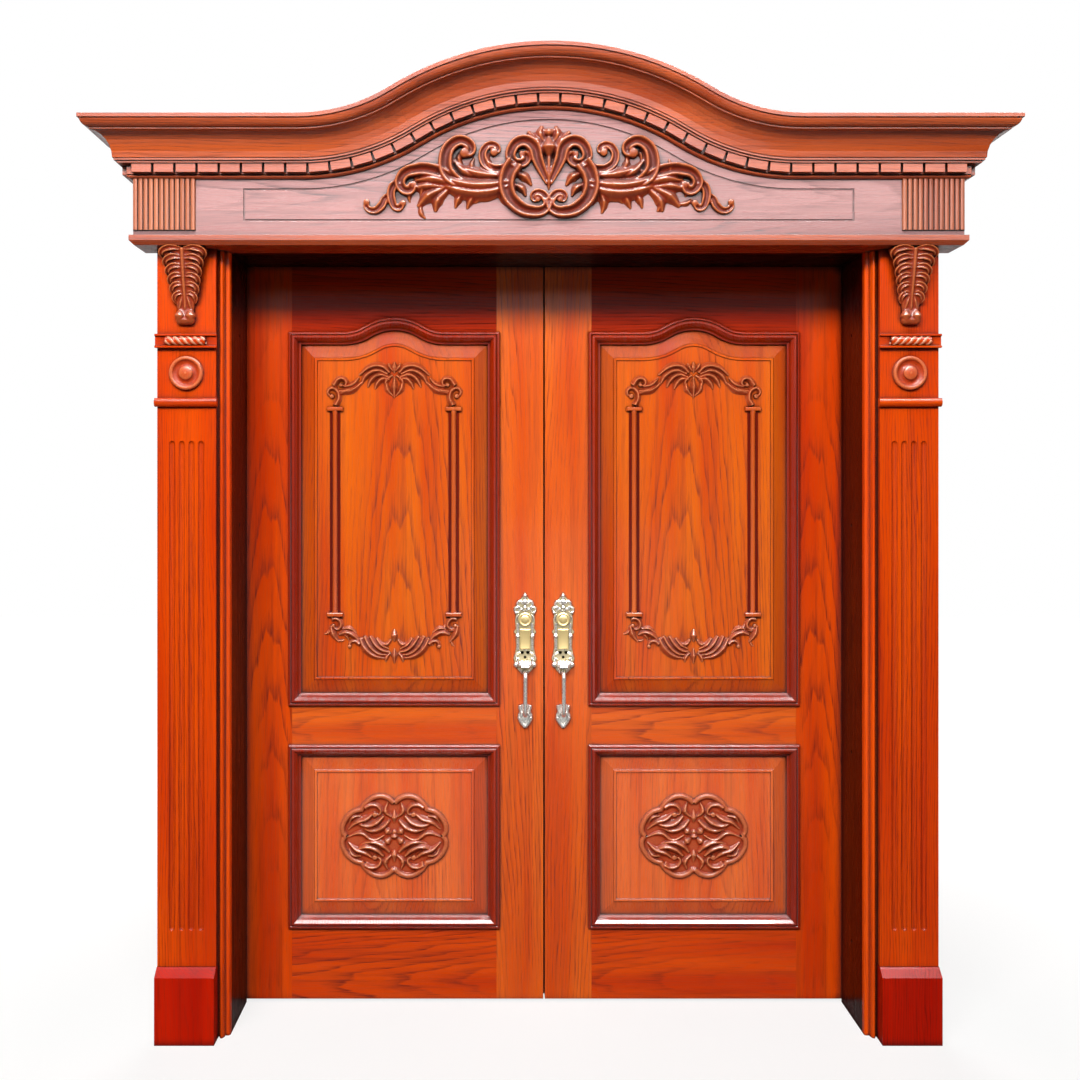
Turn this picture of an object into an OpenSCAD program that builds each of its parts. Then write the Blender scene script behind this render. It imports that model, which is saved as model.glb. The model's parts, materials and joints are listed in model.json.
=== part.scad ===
// Double front door in its frame, with a fluted and carved surround under an arched crown.
// Millimetres, +Z up, +Y into the building, floor at z = 0, middle of the doorway at x = 0.

/* [Opening] */
// Clear width between the jambs
clear_w = 1780; // [1500:10:2100]
// Clear height under the head
clear_h = 2200; // [1950:10:2600]
// Depth of the jambs, from the wall face to the back
jamb_d = 270; // [216:2:330]
// Thickness of the jamb boards
jamb_t = 50; // [40:1:70]
// Depth of the rebate that the leaves close into
rebate = 14; // [11:1:20]

/* [Leaves] */
// Thickness of a leaf
leaf_t = 50; // [42:1:60]
// Hanging stile seen beside the panel moulding
hang_w = 125; // [100:1:150]
// Meeting stile seen beside the panel moulding
meet_w = 130; // [110:1:156]
// Bottom rail seen under the lower panel moulding
low_z = 220; // [170:1:270]
// Height of the lower panel moulding
low_h = 549; // [440:1:660]
// Lock rail seen between the panel mouldings
lock_w = 117; // [94:1:140]
// Top rail seen above the shoulders of the upper panel moulding
top_w = 195; // [156:1:234]
// Rise of the arched head of the upper panel
head_rise = 43; // [34:1:52]
// Half the run of the arched head
head_run = 150; // [120:1:180]

/* [Panel mouldings] */
// Width of the panel moulding
mould_w = 36; // [29:1:43]
// Height of the panel moulding above the leaf
mould_h = 16; // [12:1:20]
// Width of the raised panel's bevel
bevel_w = 40; // [32:1:48]
// Width of the bead around the field
bead_w = 9; // [7:1:11]

/* [Surround] */
// Width of the moulded edge at the opening
edge_w = 32; // [26:1:40]
// Width of the fluted board
shaft_w = 163; // [150:1:196]
// Thickness of the backing board
casing_t = 30; // [24:1:36]
// Thickness of the fluted board
shaft_t = 30; // [24:1:36]
// Height of the plinth
plinth_h = 207; // [166:1:248]
// How far the plinth stands in front of the fluted board
plinth_out = 30; // [24:1:36]
// Spacing of the four flutes
flute_pitch = 27; // [22:1:32]
// Radius of the rosette
rosette_r = 47; // [38:1:56]
// Width of the corbel at its top
corbel_w = 136; // [110:1:150]
// How far the corbel stands out at its top
corbel_out = 60; // [48:1:72]

/* [Entablature] */
// How far the frieze stands in front of the fluted board
frieze_out = 60; // [48:1:72]
// Height of the frieze beside the arch
frieze_h = 153; // [122:1:184]
// Thickness of the shelf under the frieze
shelf_t = 26; // [20:1:32]
// Rise of the arch
arch_rise = 190; // [152:1:228]
// Half the run of the arch
arch_run = 671; // [540:1:760]
// Height of the crown above the frieze
crown_h = 148; // [120:1:178]
// How far the crown stands in front of the frieze
crown_out = 117; // [94:1:140]
// Spacing of the dentils
dentil_pitch = 60; // [48:1:72]
// Width of a reeded end block
reed_w = 171; // [137:1:205]

/* [Ironmongery] */
// Distance of the handles from the meeting line
handle_x = 57; // [46:1:66]
// Height of the thumb piece
thumb_z = 1008; // [900:1:1100]
// How far the grip stands off the leaf
grip_out = 48; // [40:1:58]
// How far the inside knobs stand off the leaf
knob_out = 68; // [56:1:80]
// Height of a hinge
hinge_h = 125; // [100:1:150]

/* [Clearances] */
// Gap between a leaf and the frame
edge_gap = 3; // [2.5:0.5:4]
// Gap between the two leaves
meeting_gap = 5; // [4.5:0.5:7]
// Gap under the leaves
floor_gap = 8; // [5:1:12]
// Gap between a leaf and the stop that the seal fills
seal_gap = 4; // [3.5:0.1:5]
// Radial clearance of the pins and shanks that turn
turn_clr = 0.05; // [0.02:0.01:0.1]
// Clearance of let-in and sliding pieces
fit_clr = 0.25; // [0.1:0.05:0.5]
// Joint line between mitred lengths of moulding
mitre_gap = 0.2; // [0.1:0.05:0.4]
// Gap from each meeting bead to the middle line
bead_clr = 0.3; // [0.2:0.1:1]

/* [Hidden] */
$fn = 48;
half_w = clear_w / 2;
leaf_y = jamb_d - leaf_t;
leaf_mid = jamb_d - leaf_t / 2;
stop_y = leaf_y - seal_gap;
rebate_x = half_w + rebate;
hinge_edge = rebate_x - edge_gap;
meet_edge = meeting_gap / 2;
leaf_top = clear_h + rebate - edge_gap;
leaf_h = leaf_top - floor_gap;
// moulding outlines on a leaf, measured from the middle of the doorway
mx0 = meet_w + meet_edge;
mx1 = half_w - hang_w;
mxc = (mx0 + mx1) / 2;
low_top = low_z + low_h;
up_z = low_top + lock_w;
up_top = clear_h - top_w;
// how far the mouldings lap the stiles and rails, and the panel enters its groove
lap = 10;
tongue_in = 8;
tongue_t = 12;
groove_d = tongue_in + 1;
tenon_l = 58;
tenon_t = 16;
// heights of the tenons of the bottom, lock and top rails
tenon_zs = [[floor_gap + 40, low_z - 10], [low_top + 10, up_z - 10], [up_top + 55, leaf_top - 40]];
field_in = mould_w + bevel_w + bead_w;
// frame fixings through each jamb
fixing_r = 5;
fixing_y = jamb_d * 0.4;
fixing_zs = [clear_h * 0.1, clear_h * 0.35, clear_h * 0.65, clear_h * 0.9];
// surround
shaft_x0 = half_w + edge_w;
shaft_x1 = shaft_x0 + shaft_w;
shaft_xc = shaft_x0 + shaft_w / 2;
shaft_y = -casing_t - shaft_t;
band_z = clear_h - 438;
band_h = 24;
rope_z = clear_h - 275;
rope_h = 38;
corbel_z = clear_h - 213;
rosette_z = (band_z + band_h + rope_z) / 2;
// entablature
frieze_y = shaft_y - frieze_out;
frieze_half = shaft_x1 + 50;
board_t = 30;
shelf_over = 10;
shelf_top = clear_h + shelf_t;
crown_z = shelf_top + frieze_h;
cover_t = 12;
arch_turn = 2 * atan(arch_rise / arch_run);
arch_sum = arch_run / sin(arch_turn);
arch_r1 = arch_sum * 0.48;
arch_r2 = arch_sum - arch_r1;
bed_h = crown_h * 0.25;
cove_h = crown_h * 0.79;
dentil_h = crown_h * 0.155;
dentil_v = crown_h * 0.165;
dentil_l = dentil_pitch - 7;
dentil_u = crown_out * 0.26;
bed_u = crown_out * 0.12;
// hinges
pivot_x = rebate_x - edge_gap / 2;
pivot_y = jamb_d + 8;
pin_r = 4;
knuckle_r = 7;
knuckle_gap = 0.4;
plate_w = 37;
plate_t = 2.5;
hinge_zs = [for (i = [0 : 3]) floor_gap + 190 + i * (leaf_h - 370) / 3];
// lock and bolts
key_z = thumb_z + 137;
dead_z = thumb_z + 87;
latch_z = thumb_z + 36;
knob_z = thumb_z - 7;
forend_t = 3;
case_z0 = thumb_z - 48;
case_h = 225;
case_d = 82;
case_t = 18;
dead_throw = 20;
latch_throw = 12;
bolt_throw = 15;
bolt_r = 5;
bolt_x = meet_edge + 14;
bolt_l = 170;
bolt_plate_l = 120;
slide_z = bolt_l - 40;
keeper = 15;
dead_h = 32;
latch_h = 22;
dead_l = 44;
latch_l = 40;
// handles
plate_out = 6;
thumb_y = leaf_y - 2.5;
thumb_pin_r = 1.6;
key_r = 13;
shank_r = 7;
grip_r = 6;
grip_bend = 16;
grip_top = thumb_z - 20;
grip_low = thumb_z - 146;
// box of the whole, which sets the middle of its depth
set_front = frieze_y - crown_out;
set_back = jamb_d + knob_out;

// Placing and shared shapes

module placed() {
  translate([0, -(set_front + set_back) / 2, 0]) children();
}

module left() {
  placed() mirror([1, 0, 0]) children();
}

module right() {
  placed() children();
}

module both() {
  right() children();
  left() children();
}

// Box between two corners
module box(a, b) {
  translate(a) cube(b - a);
}

// Profile of [y, z] points run along X
module run_x(x0, x1) {
  translate([x0, 0, 0]) rotate([90, 0, 90]) linear_extrude(x1 - x0) children();
}

// Profile of [x, z] points run along Y
module run_y(y0, y1) {
  translate([0, y1, 0]) rotate([90, 0, 0]) linear_extrude(y1 - y0) children();
}

// Cylinder along Y
module rod_y(x, z, y0, y1, r) {
  translate([x, y0, z]) rotate([-90, 0, 0]) cylinder(r = r, h = y1 - y0);
}

// Cylinder along X
module rod_x(y, z, x0, x1, r) {
  translate([x0, y, z]) rotate([0, 90, 0]) cylinder(r = r, h = x1 - x0);
}

// S-curved arch from shoulder to shoulder, moved v away from its line
function arch_line(run, rise, share, v, n) =
  let (t = 2 * atan(rise / run), s = run / sin(t), a = s * share, b = s - a)
  concat(
    [for (i = [0 : n]) [-run + (a - v) * sin(t * i / n), a - (a - v) * cos(t * i / n)]],
    [for (i = [1 : 2 * n]) let (q = t * (1 - i / n)) [-(b + v) * sin(q), rise - b + (b + v) * cos(q)]],
    [for (i = [1 : n]) let (q = t * (1 - i / n)) [run - (a - v) * sin(q), a - (a - v) * cos(q)]]
  );

// Outline of a panel, set in by i from its moulding's outer edge, from the lower corner round
function outline(z0, z1, rise, i) =
  let (top = rise > 0 ? arch_line(head_run, rise, 0.4, -i, 5) : [])
  concat(
    [[mx0 + i, z0 + i], [mx1 - i, z0 + i], [mx1 - i, z1 - i]],
    [for (k = [len(top) - 1 : -1 : 0]) [mxc + top[k][0], z1 + top[k][1]]],
    [[mx0 + i, z1 - i]]
  );

// Closed solid through outlines of [x, z] points, each at its own depth
module loft(rings, depths) {
  n = len(rings[0]);
  m = len(rings);
  polyhedron(
    points = [for (k = [0 : m - 1]) for (p = rings[k]) [p[0], depths[k], p[1]]],
    faces = concat(
      [concat([0], [for (i = [n - 1 : -1 : 1]) i])],
      [[for (i = [0 : n - 1]) (m - 1) * n + i]],
      [for (k = [0 : m - 2]) for (i = [0 : n - 1]) let (j = (i + 1) % n)
        [k * n + i, k * n + j, k * n + n + j]],
      [for (k = [0 : m - 2]) for (i = [0 : n - 1]) let (j = (i + 1) % n)
        [k * n + i, k * n + n + j, k * n + n + i]]
    )
  );
}

// Smooth line through a few points
function smooth(p, n) =
  [for (i = [0 : len(p) - 2]) for (k = [0 : n - 1])
    let (t = k / n, a = p[max(i - 1, 0)], b = p[i], c = p[i + 1], d = p[min(i + 2, len(p) - 1)])
    0.5 * (2 * b + (c - a) * t + (2 * a - 5 * b + 4 * c - d) * t * t + (3 * b - a - 3 * c + d) * t * t * t),
    p[len(p) - 1]];

// Carved stem or leaf along a smooth line, from width w0 through wm to w1
module stroke(p, w0, wm, w1, n = 2) {
  q = smooth(p, n);
  m = len(q) - 1;
  for (i = [0 : m - 1]) {
    hull() {
      translate(q[i]) circle(d = leaf_width(i / m, w0, wm, w1), $fn = 6);
      translate(q[i + 1]) circle(d = leaf_width((i + 1) / m, w0, wm, w1), $fn = 6);
    }
  }
}

function leaf_width(t, w0, wm, w1) = t < 0.5 ? w0 + (wm - w0) * 2 * t : wm + (w1 - wm) * (2 * t - 1);

// The same on both sides of the middle
module paired() {
  children();
  mirror([1, 0]) children();
}

// Frame

module jamb() {
  color("sienna") {
    difference() {
      box([rebate_x, 0, 0], [half_w + jamb_t, jamb_d, clear_h + rebate]);
      for (z = hinge_zs) {
        box([rebate_x - 1, jamb_d - plate_w - fit_clr, z - hinge_h / 2 - fit_clr],
          [rebate_x + plate_t + fit_clr, jamb_d + 1, z + hinge_h / 2 + fit_clr]);
      }
      jamb_fixings();
    }
    difference() {
      box([half_w, 0, 0], [rebate_x - mitre_gap, stop_y, clear_h]);
      box([half_w + 4, stop_y - 6, -1], [half_w + 9, stop_y + 1, clear_h + 1]);
      jamb_fixings();
    }
  }
}

module jamb_fixings() {
  for (z = fixing_zs) rod_x(fixing_y, z, half_w - 1, half_w + jamb_t + 1, fixing_r);
}

module jamb_left() { left() jamb(); }
module jamb_right() { right() jamb(); }

module head_jamb() {
  placed() color("sienna") {
    difference() {
      box([-half_w - jamb_t, 0, clear_h + rebate], [half_w + jamb_t, jamb_d, clear_h + jamb_t]);
      box([-bolt_x - keeper / 2, leaf_mid - keeper / 2, clear_h],
        [-bolt_x + keeper / 2, leaf_mid + keeper / 2, leaf_top + bolt_throw + 3]);
    }
    difference() {
      box([-rebate_x + mitre_gap, 0, clear_h], [rebate_x - mitre_gap, stop_y, clear_h + rebate - mitre_gap]);
      box([-half_w, stop_y - 6, clear_h + 4], [half_w, stop_y + 1, clear_h + 9]);
    }
  }
}

// Seal in its groove: a stem with a round nose towards the leaf
module seal_shape() {
  translate([4.2, -5.8]) square([4.6, 5.8 + seal_gap - 2.8]);
  translate([6.5, seal_gap - 2.8]) circle(r = 2.3);
}

module weather_seal() {
  both() color("dimgray") translate([half_w, stop_y, 0]) linear_extrude(clear_h) seal_shape();
  placed() color("dimgray") translate([-half_w + 2, stop_y, clear_h])
    rotate([90, 0, 90]) linear_extrude(clear_w - 4) mirror([1, -1]) seal_shape();
}

// Surround

module casings() {
  both() color("peru") linear_extrude(clear_h) polygon(concat(
    [[half_w, 0], [half_w, -casing_t * 0.4]],
    [for (i = [0 : 4]) [half_w + 6 - 6 * cos(i * 22.5), -casing_t * 0.5 - casing_t * 0.25 * sin(i * 22.5)]],
    [[half_w + edge_w * 0.42, -casing_t * 0.75], [half_w + edge_w * 0.42, -casing_t]],
    [for (i = [0 : 6])
      [half_w + edge_w * (0.66 - 0.2 * cos(i * 30)), -casing_t * (1 + 0.4 * sin(i * 30))]],
    [[half_w + edge_w * 0.9, -casing_t], [shaft_x1, -casing_t], [shaft_x1, 0]]
  ));
}

// Flute with round ends
module flute(r, z0, z1) {
  translate([0, 0, z0]) rotate_extrude($fn = 32) polygon(concat(
    [for (i = [0 : 4]) [r * sin(i * 22.5), r - r * cos(i * 22.5)]],
    [for (i = [0 : 4]) [r * cos(i * 22.5), z1 - z0 - r + r * sin(i * 22.5)]]
  ));
}

module pilaster() {
  flute_r = flute_pitch * 0.33;
  color("peru") difference() {
    box([shaft_x0, shaft_y, plinth_h], [shaft_x1, -casing_t, clear_h]);
    for (i = [-1.5 : 1 : 1.5]) {
      translate([shaft_xc + i * flute_pitch, shaft_y - flute_r * 0.35, 0])
        flute(flute_r, plinth_h + 99, band_z - 94);
    }
  }
}

module pilasters() { both() pilaster(); }

module plinths() {
  front = shaft_y - plinth_out;
  both() color("peru") run_x(shaft_x0 - 1, shaft_x1 + 1) polygon([
    [-casing_t, 0], [-casing_t, plinth_h], [shaft_y - 3, plinth_h],
    [shaft_y - 8, plinth_h - 4], [front, plinth_h * 0.9], [front, 0]
  ]);
}

module plain_bands() {
  both() color("peru") run_x(shaft_x0 - 5, shaft_x1 + 5) union() {
    translate([shaft_y - 7, band_z]) square([7, band_h]);
    translate([shaft_y - 7, band_z + band_h / 2]) intersection() {
      circle(r = band_h / 2);
      translate([-band_h, -band_h]) square([band_h + 7, 2 * band_h]);
    }
  }
}

module rope_bands() {
  rope_r = rope_h * 0.306;
  rope_half = shaft_w * 0.34;
  both() color("peru") union() {
    run_x(shaft_x0 - 4, shaft_x1 + 4) polygon([
      [shaft_y, rope_z], [shaft_y, rope_z + rope_h], [shaft_y - 16, rope_z + rope_h],
      [shaft_y - 16, rope_z + rope_h - 5], [shaft_y - 9, rope_z + rope_h - 7],
      [shaft_y - 9, rope_z + 7], [shaft_y - 16, rope_z + 5], [shaft_y - 16, rope_z]
    ]);
    rod_x(shaft_y - rope_r - 0.1, rope_z + rope_h / 2, shaft_xc - rope_half, shaft_xc + rope_half, rope_r);
  }
}

// Turned rosette: outer bead, cove and boss
module rosettes() {
  r = rosette_r;
  both() color("peru") translate([shaft_xc, shaft_y, rosette_z]) rotate([90, 0, 0])
    rotate_extrude() polygon(concat(
      [[0, 0], [r, 0], [r, 6]],
      [for (i = [0 : 6]) [r * 0.88 + r * 0.12 * cos(i * 30), 8 + r * 0.12 * sin(i * 30)]],
      [for (i = [1 : 5]) [r * 0.76 - r * 0.36 * i / 6, 8 - 5 * sin(i * 30)]],
      [[r * 0.4, 8], [r * 0.4, 11]],
      [for (i = [1 : 5]) [r * 0.4 * cos(i * 18), 11 + 7 * sin(i * 18)]],
      [[0, 18]]
    ));
}

// Scrolled corbel, narrow at the foot and wide at the top
function corbel_ring(t) =
  let (
    w = corbel_w * (0.42 + 0.58 * pow(t, 0.8)) * (1 + 0.05 * sin(1440 * t)),
    p = corbel_out * (0.42 + 0.16 * sin(720 * t + 40) * (1 - t) + 0.58 * pow(t, 1.7))
  )
  [for (i = [0 : 12]) [shaft_xc - w / 2 * cos(i * 15), shaft_y - p * pow(sin(i * 15), 0.6)]];

module corbels() {
  m = 18;
  both() color("peru") rotate([-90, 0, 0]) loft(
    [for (i = [0 : m]) corbel_ring(1 - i / m)],
    [for (i = [0 : m]) -(corbel_z + (clear_h - corbel_z) * (1 - i / m))]
  );
}

// Entablature

module shelf_board() {
  x = frieze_half + shelf_over;
  y = frieze_y - shelf_over;
  chamfer = shelf_t * 0.45;
  placed() color("peru") intersection() {
    run_x(-x, x) polygon([
      [0, clear_h], [0, shelf_top], [y, shelf_top], [y, clear_h + chamfer], [y + chamfer, clear_h]
    ]);
    run_y(y - 1, 1) polygon([
      [-x, clear_h + chamfer], [-x, shelf_top], [x, shelf_top],
      [x, clear_h + chamfer], [x - chamfer, clear_h], [-x + chamfer, clear_h]
    ]);
  }
}

// Arched top line of the frieze, moved v up, from left to right
function frieze_top(v) = [for (p = arch_line(arch_run, arch_rise, 0.48, v, 8)) [p[0], crown_z + p[1]]];

// Panel line cut into the frieze, moved i inwards
function sunk_line(i) =
  let (x = frieze_half * 0.735 - i, n = frieze_top(-25 - i), m = len(n))
  concat([[-x, shelf_top + 39 + i], [x, shelf_top + 39 + i], [x, crown_z - 25 - i]],
    [for (k = [m - 1 : -1 : 0]) n[k]], [[-x, crown_z - 25 - i]]);

module frieze_board() {
  top = frieze_top(crown_h - cover_t);
  m = len(top);
  placed() color("peru") difference() {
    run_y(frieze_y, frieze_y + board_t) polygon(concat(
      [[-frieze_half, shelf_top], [frieze_half, shelf_top], [frieze_half, crown_z + crown_h - cover_t]],
      [for (k = [m - 1 : -1 : 0]) top[k]],
      [[-frieze_half, crown_z + crown_h - cover_t]]
    ));
    difference() {
      run_y(frieze_y - 1, frieze_y + 3) polygon(sunk_line(0));
      run_y(frieze_y - 2, frieze_y + 4) polygon(sunk_line(5));
    }
  }
}

module frieze_ends() {
  both() color("peru") box([frieze_half - board_t, frieze_y + board_t, shelf_top],
    [frieze_half, 0, crown_z + crown_h - cover_t]);
}

module reeded_blocks() {
  reeds = 12;
  pitch = reed_w / reeds;
  depth = shelf_over - 2;
  both() color("peru") translate([frieze_half - reed_w, frieze_y, shelf_top + 14])
    linear_extrude(frieze_h - 14) polygon(concat(
      [[reed_w, 0]],
      [for (i = [reeds - 1 : -1 : 0]) for (k = [0 : 4])
        [(i + 0.5) * pitch + pitch / 2 * 0.98 * cos(k * 45), -depth * 0.3 - depth * 0.7 * sin(k * 45)]],
      [[0, 0]]
    ));
}

// One course of the crown: straight, swept and arched lengths with mitred returns;
// profile in [out, up] points, joint lines of the given width between the lengths
module course(profile, joint) {
  far = crown_out + 20;
  trim = joint / arch_r2 * 180 / PI;
  tall = crown_z + arch_rise + crown_h + 50;
  placed() union() {
    translate([0, frieze_y, crown_z]) {
      translate([0, 0, arch_rise - arch_r2]) rotate([90, 0, 0]) rotate([0, 0, 90 - arch_turn + trim])
        rotate_extrude(angle = 2 * (arch_turn - trim), $fn = 96)
          polygon([for (p = profile) [arch_r2 + p[1], p[0]]]);
      for (s = [0, 1]) {
        translate([s * 2 * arch_run - arch_run, 0, arch_r1]) rotate([90, 0, 0])
          rotate([0, 0, -90 - s * arch_turn]) rotate_extrude(angle = arch_turn, $fn = 96)
            polygon([for (p = profile) [arch_r1 - p[1], p[0]]]);
      }
    }
    for (s = [0, 1]) mirror([s, 0, 0]) difference() {
      translate([0, frieze_y, crown_z]) run_x(arch_run + joint, frieze_half + far)
        polygon([for (p = profile) [-p[0], p[1]]]);
      translate([-mitre_gap, 0, 0]) linear_extrude(tall) polygon([
        [frieze_half, frieze_y], [frieze_half + far + 1, frieze_y - far - 1],
        [frieze_half + far + 1, frieze_y + 1], [frieze_half, frieze_y + 1]
      ]);
    }
  }
  both() difference() {
    translate([frieze_half, 0, crown_z]) run_y(frieze_y - far, 0) polygon(profile);
    linear_extrude(tall) polygon([[frieze_half, frieze_y], [frieze_half + far + 1, frieze_y - far - 1],
      [frieze_half - 1, frieze_y - far - 1], [frieze_half - 1, frieze_y]]);
  }
}

// Where the dentil at distance s along the arch from the middle stands: [x, z, tilt]
function dentil_at(s) =
  let (
    ra = arch_r2 + dentil_v,
    rb = arch_r1 - dentil_v,
    la = ra * arch_turn * PI / 180,
    lb = rb * arch_turn * PI / 180,
    q = abs(s),
    d = s < 0 ? -1 : 1,
    a = q / ra * 180 / PI,
    b = arch_turn - (q - la) / rb * 180 / PI
  )
  q < la ? [d * ra * sin(a), arch_rise - arch_r2 + ra * cos(a), d * a]
  : q < la + lb ? [d * (arch_run - rb * sin(b)), arch_r1 - rb * cos(b), d * b]
  : [d * (arch_run + q - la - lb), dentil_v, 0];

module dentil_course() {
  reach = ((arch_r2 + dentil_v) + (arch_r1 - dentil_v)) * arch_turn * PI / 180 + frieze_half - arch_run;
  count = floor((reach - dentil_l / 2) / dentil_pitch);
  color("peru") course([
    [0, 0], [bed_u * 0.5, 0], [bed_u * 0.9, crown_h * 0.02], [bed_u, crown_h * 0.04],
    [bed_u * 0.9, crown_h * 0.06], [bed_u * 0.7, crown_h * 0.075], [bed_u, crown_h * 0.075],
    [bed_u, bed_h], [0, bed_h]
  ], 0);
  placed() color("peru") for (i = [-count : count]) {
    p = dentil_at(i * dentil_pitch);
    translate([p[0], frieze_y - dentil_u, crown_z + p[1]]) rotate([0, p[2], 0])
      translate([-dentil_l / 2, 0, -dentil_h / 2]) cube([dentil_l, dentil_u - bed_u + 2, dentil_h]);
  }
  both() color("peru") for (y = [frieze_y * 0.25, frieze_y * 0.25 - dentil_pitch]) {
    box([frieze_half + bed_u - 2, y - dentil_l / 2, crown_z + dentil_v - dentil_h / 2],
      [frieze_half + dentil_u, y + dentil_l / 2, crown_z + dentil_v + dentil_h / 2]);
  }
}

// Fillets and the large cove
module crown_moulding() {
  a = crown_out * 0.3;
  b = crown_out * 0.38;
  c = crown_out * 0.77;
  v = crown_h * 0.33;
  color("peru") course(concat(
    [[0, bed_h], [a, bed_h], [a, crown_h * 0.29], [b - 3, crown_h * 0.29], [b - 3, v]],
    [for (i = [0 : 6]) [b + (c - b) * (1 - cos(i * 15)), v + (crown_h * 0.76 - v) * sin(i * 15)]],
    [[c + 2, crown_h * 0.76], [c + 2, cove_h], [0, cove_h]]
  ), mitre_gap);
}

// Ovolo under the top fillet
module crown_cap() {
  c = crown_out * 0.8;
  v = crown_h * 0.93;
  color("peru") course(concat(
    [[0, cove_h]],
    [for (i = [0 : 5]) [c + (crown_out * 0.96 - c) * sin(i * 18), cove_h + (v - cove_h) * (1 - cos(i * 18))]],
    [[crown_out, v], [crown_out, crown_h], [0, crown_h]]
  ), mitre_gap);
}

module crown_cover() {
  top = frieze_top(crown_h);
  low = frieze_top(crown_h - cover_t);
  m = len(top);
  z = crown_z + crown_h;
  placed() color("peru") run_y(frieze_y, 0) polygon(concat(
    [[-frieze_half, z - cover_t]], low, [[frieze_half, z - cover_t], [frieze_half, z]],
    [for (k = [m - 1 : -1 : 0]) top[k]], [[-frieze_half, z]]
  ));
}

// Applied carving of the frieze: palmette, lyre scrolls and side branches
module frieze_carving() {
  k = frieze_half / 1135;
  z = shelf_top + 57;
  placed() color("peru") translate([0, 0, z]) run_y(frieze_y - 16, frieze_y) scale([k, k]) {
    stroke([[0, 150], [0, 195], [0, 240]], 16, 34, 8);
    stroke([[0, 0], [0, 40], [0, 92], [0, 150]], 12, 30, 20);
    paired() {
      stroke([[2, 160], [22, 190], [58, 214]], 22, 22, 7);
      stroke([[4, 138], [40, 178], [92, 178], [102, 146], [80, 136]], 16, 16, 14);
      stroke([[8, 132], [66, 112], [108, 70], [96, 22], [44, 4], [4, 8]], 22, 20, 22);
      stroke([[20, 30], [56, 34], [66, 66], [44, 76], [36, 60]], 14, 13, 11);
      stroke([[104, 92], [176, 78], [252, 104], [324, 92], [398, 62], [452, 30], [494, 20], [486, 42],
        [470, 38]], 26, 24, 10);
      stroke([[112, 96], [146, 146], [182, 164], [196, 138], [174, 130]], 20, 16, 12);
      stroke([[190, 88], [214, 140], [256, 178], [278, 152], [254, 142]], 22, 18, 12);
      stroke([[196, 84], [210, 48], [240, 22]], 24, 30, 7);
      stroke([[150, 84], [152, 44], [130, 22]], 22, 26, 7);
      stroke([[286, 98], [310, 62], [352, 22]], 20, 30, 7);
      stroke([[300, 96], [336, 128], [386, 118]], 20, 26, 7);
      stroke([[380, 70], [416, 86], [446, 64], [430, 50]], 16, 14, 10);
    }
  }
}

// Hinges

// Plate on one face of the hinge gap, with every other knuckle from the first one up
module hinge_half(x0, x1, first) {
  seg = hinge_h / 5;
  difference() {
    union() {
      box([x0, jamb_d - plate_w, -hinge_h / 2], [x1, jamb_d - 0.5, hinge_h / 2]);
      for (i = [first : 2 : 4]) {
        z = -hinge_h / 2 + i * seg + knuckle_gap / 2;
        box([x0, jamb_d - 1, z], [x1, pivot_y - 1, z + seg - knuckle_gap]);
        translate([pivot_x, pivot_y, z]) cylinder(r = knuckle_r, h = seg - knuckle_gap);
      }
    }
    translate([pivot_x, pivot_y, -hinge_h]) cylinder(r = pin_r + turn_clr, h = 2 * hinge_h);
  }
}

module frame_hinge_plates() {
  both() color("darkgoldenrod") for (z = hinge_zs) translate([0, 0, z])
    hinge_half(rebate_x, rebate_x + plate_t, 0);
}

module leaf_hinge_plates() {
  color("darkgoldenrod") for (z = hinge_zs) translate([0, 0, z])
    hinge_half(hinge_edge - plate_t, hinge_edge, 1);
}

module hinge_pins() {
  both() color("darkgoldenrod") for (z = hinge_zs) translate([pivot_x, pivot_y, z - hinge_h / 2])
    rotate_extrude() polygon([
      [0, -9], [3, -8], [5, -5], [5, -2], [knuckle_r, -1], [knuckle_r, -0.1], [pin_r, -0.1],
      [pin_r, hinge_h + 0.1], [knuckle_r, hinge_h + 0.1], [knuckle_r, hinge_h + 1], [5, hinge_h + 2],
      [5, hinge_h + 5], [3, hinge_h + 8], [0, hinge_h + 9]
    ]);
}

// Leaf, drawn on the right of the doorway

// Groove for the panels' tongues, on one side of a stile
module stile_grooves(x0, x1) {
  for (z = [[low_z, low_top], [up_z, up_top]]) {
    box([x0, leaf_mid - tongue_t / 2 - fit_clr, z[0] + lap - groove_d],
      [x1, leaf_mid + tongue_t / 2 + fit_clr, z[1] - lap + groove_d]);
  }
}

// Mortise and groove are cut from x0 to x1 of a stile
module mortises(x0, x1) {
  for (z = tenon_zs) {
    box([x0, leaf_mid - tenon_t / 2 - fit_clr, z[0] - fit_clr],
      [x1, leaf_mid + tenon_t / 2 + fit_clr, z[1] + fit_clr]);
  }
}

module hanging_stile() {
  x = mx1 - lap;
  color("chocolate") difference() {
    box([x, leaf_y, floor_gap], [hinge_edge, jamb_d, leaf_top]);
    stile_grooves(x - 1, x + groove_d);
    mortises(x - 1, x + tenon_l + 1);
    for (z = hinge_zs) {
      box([hinge_edge - plate_t - fit_clr, jamb_d - plate_w - fit_clr, z - hinge_h / 2 - fit_clr],
        [hinge_edge + 1, jamb_d + 1, z + hinge_h / 2 + fit_clr]);
    }
  }
}

module meeting_stile() {
  x = mx0 + lap;
  color("chocolate") difference() {
    box([meet_edge, leaf_y, floor_gap], [x, jamb_d, leaf_top]);
    stile_grooves(x - groove_d, x + 1);
    mortises(x - tenon_l - 1, x + 1);
    children();
  }
}

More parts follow.
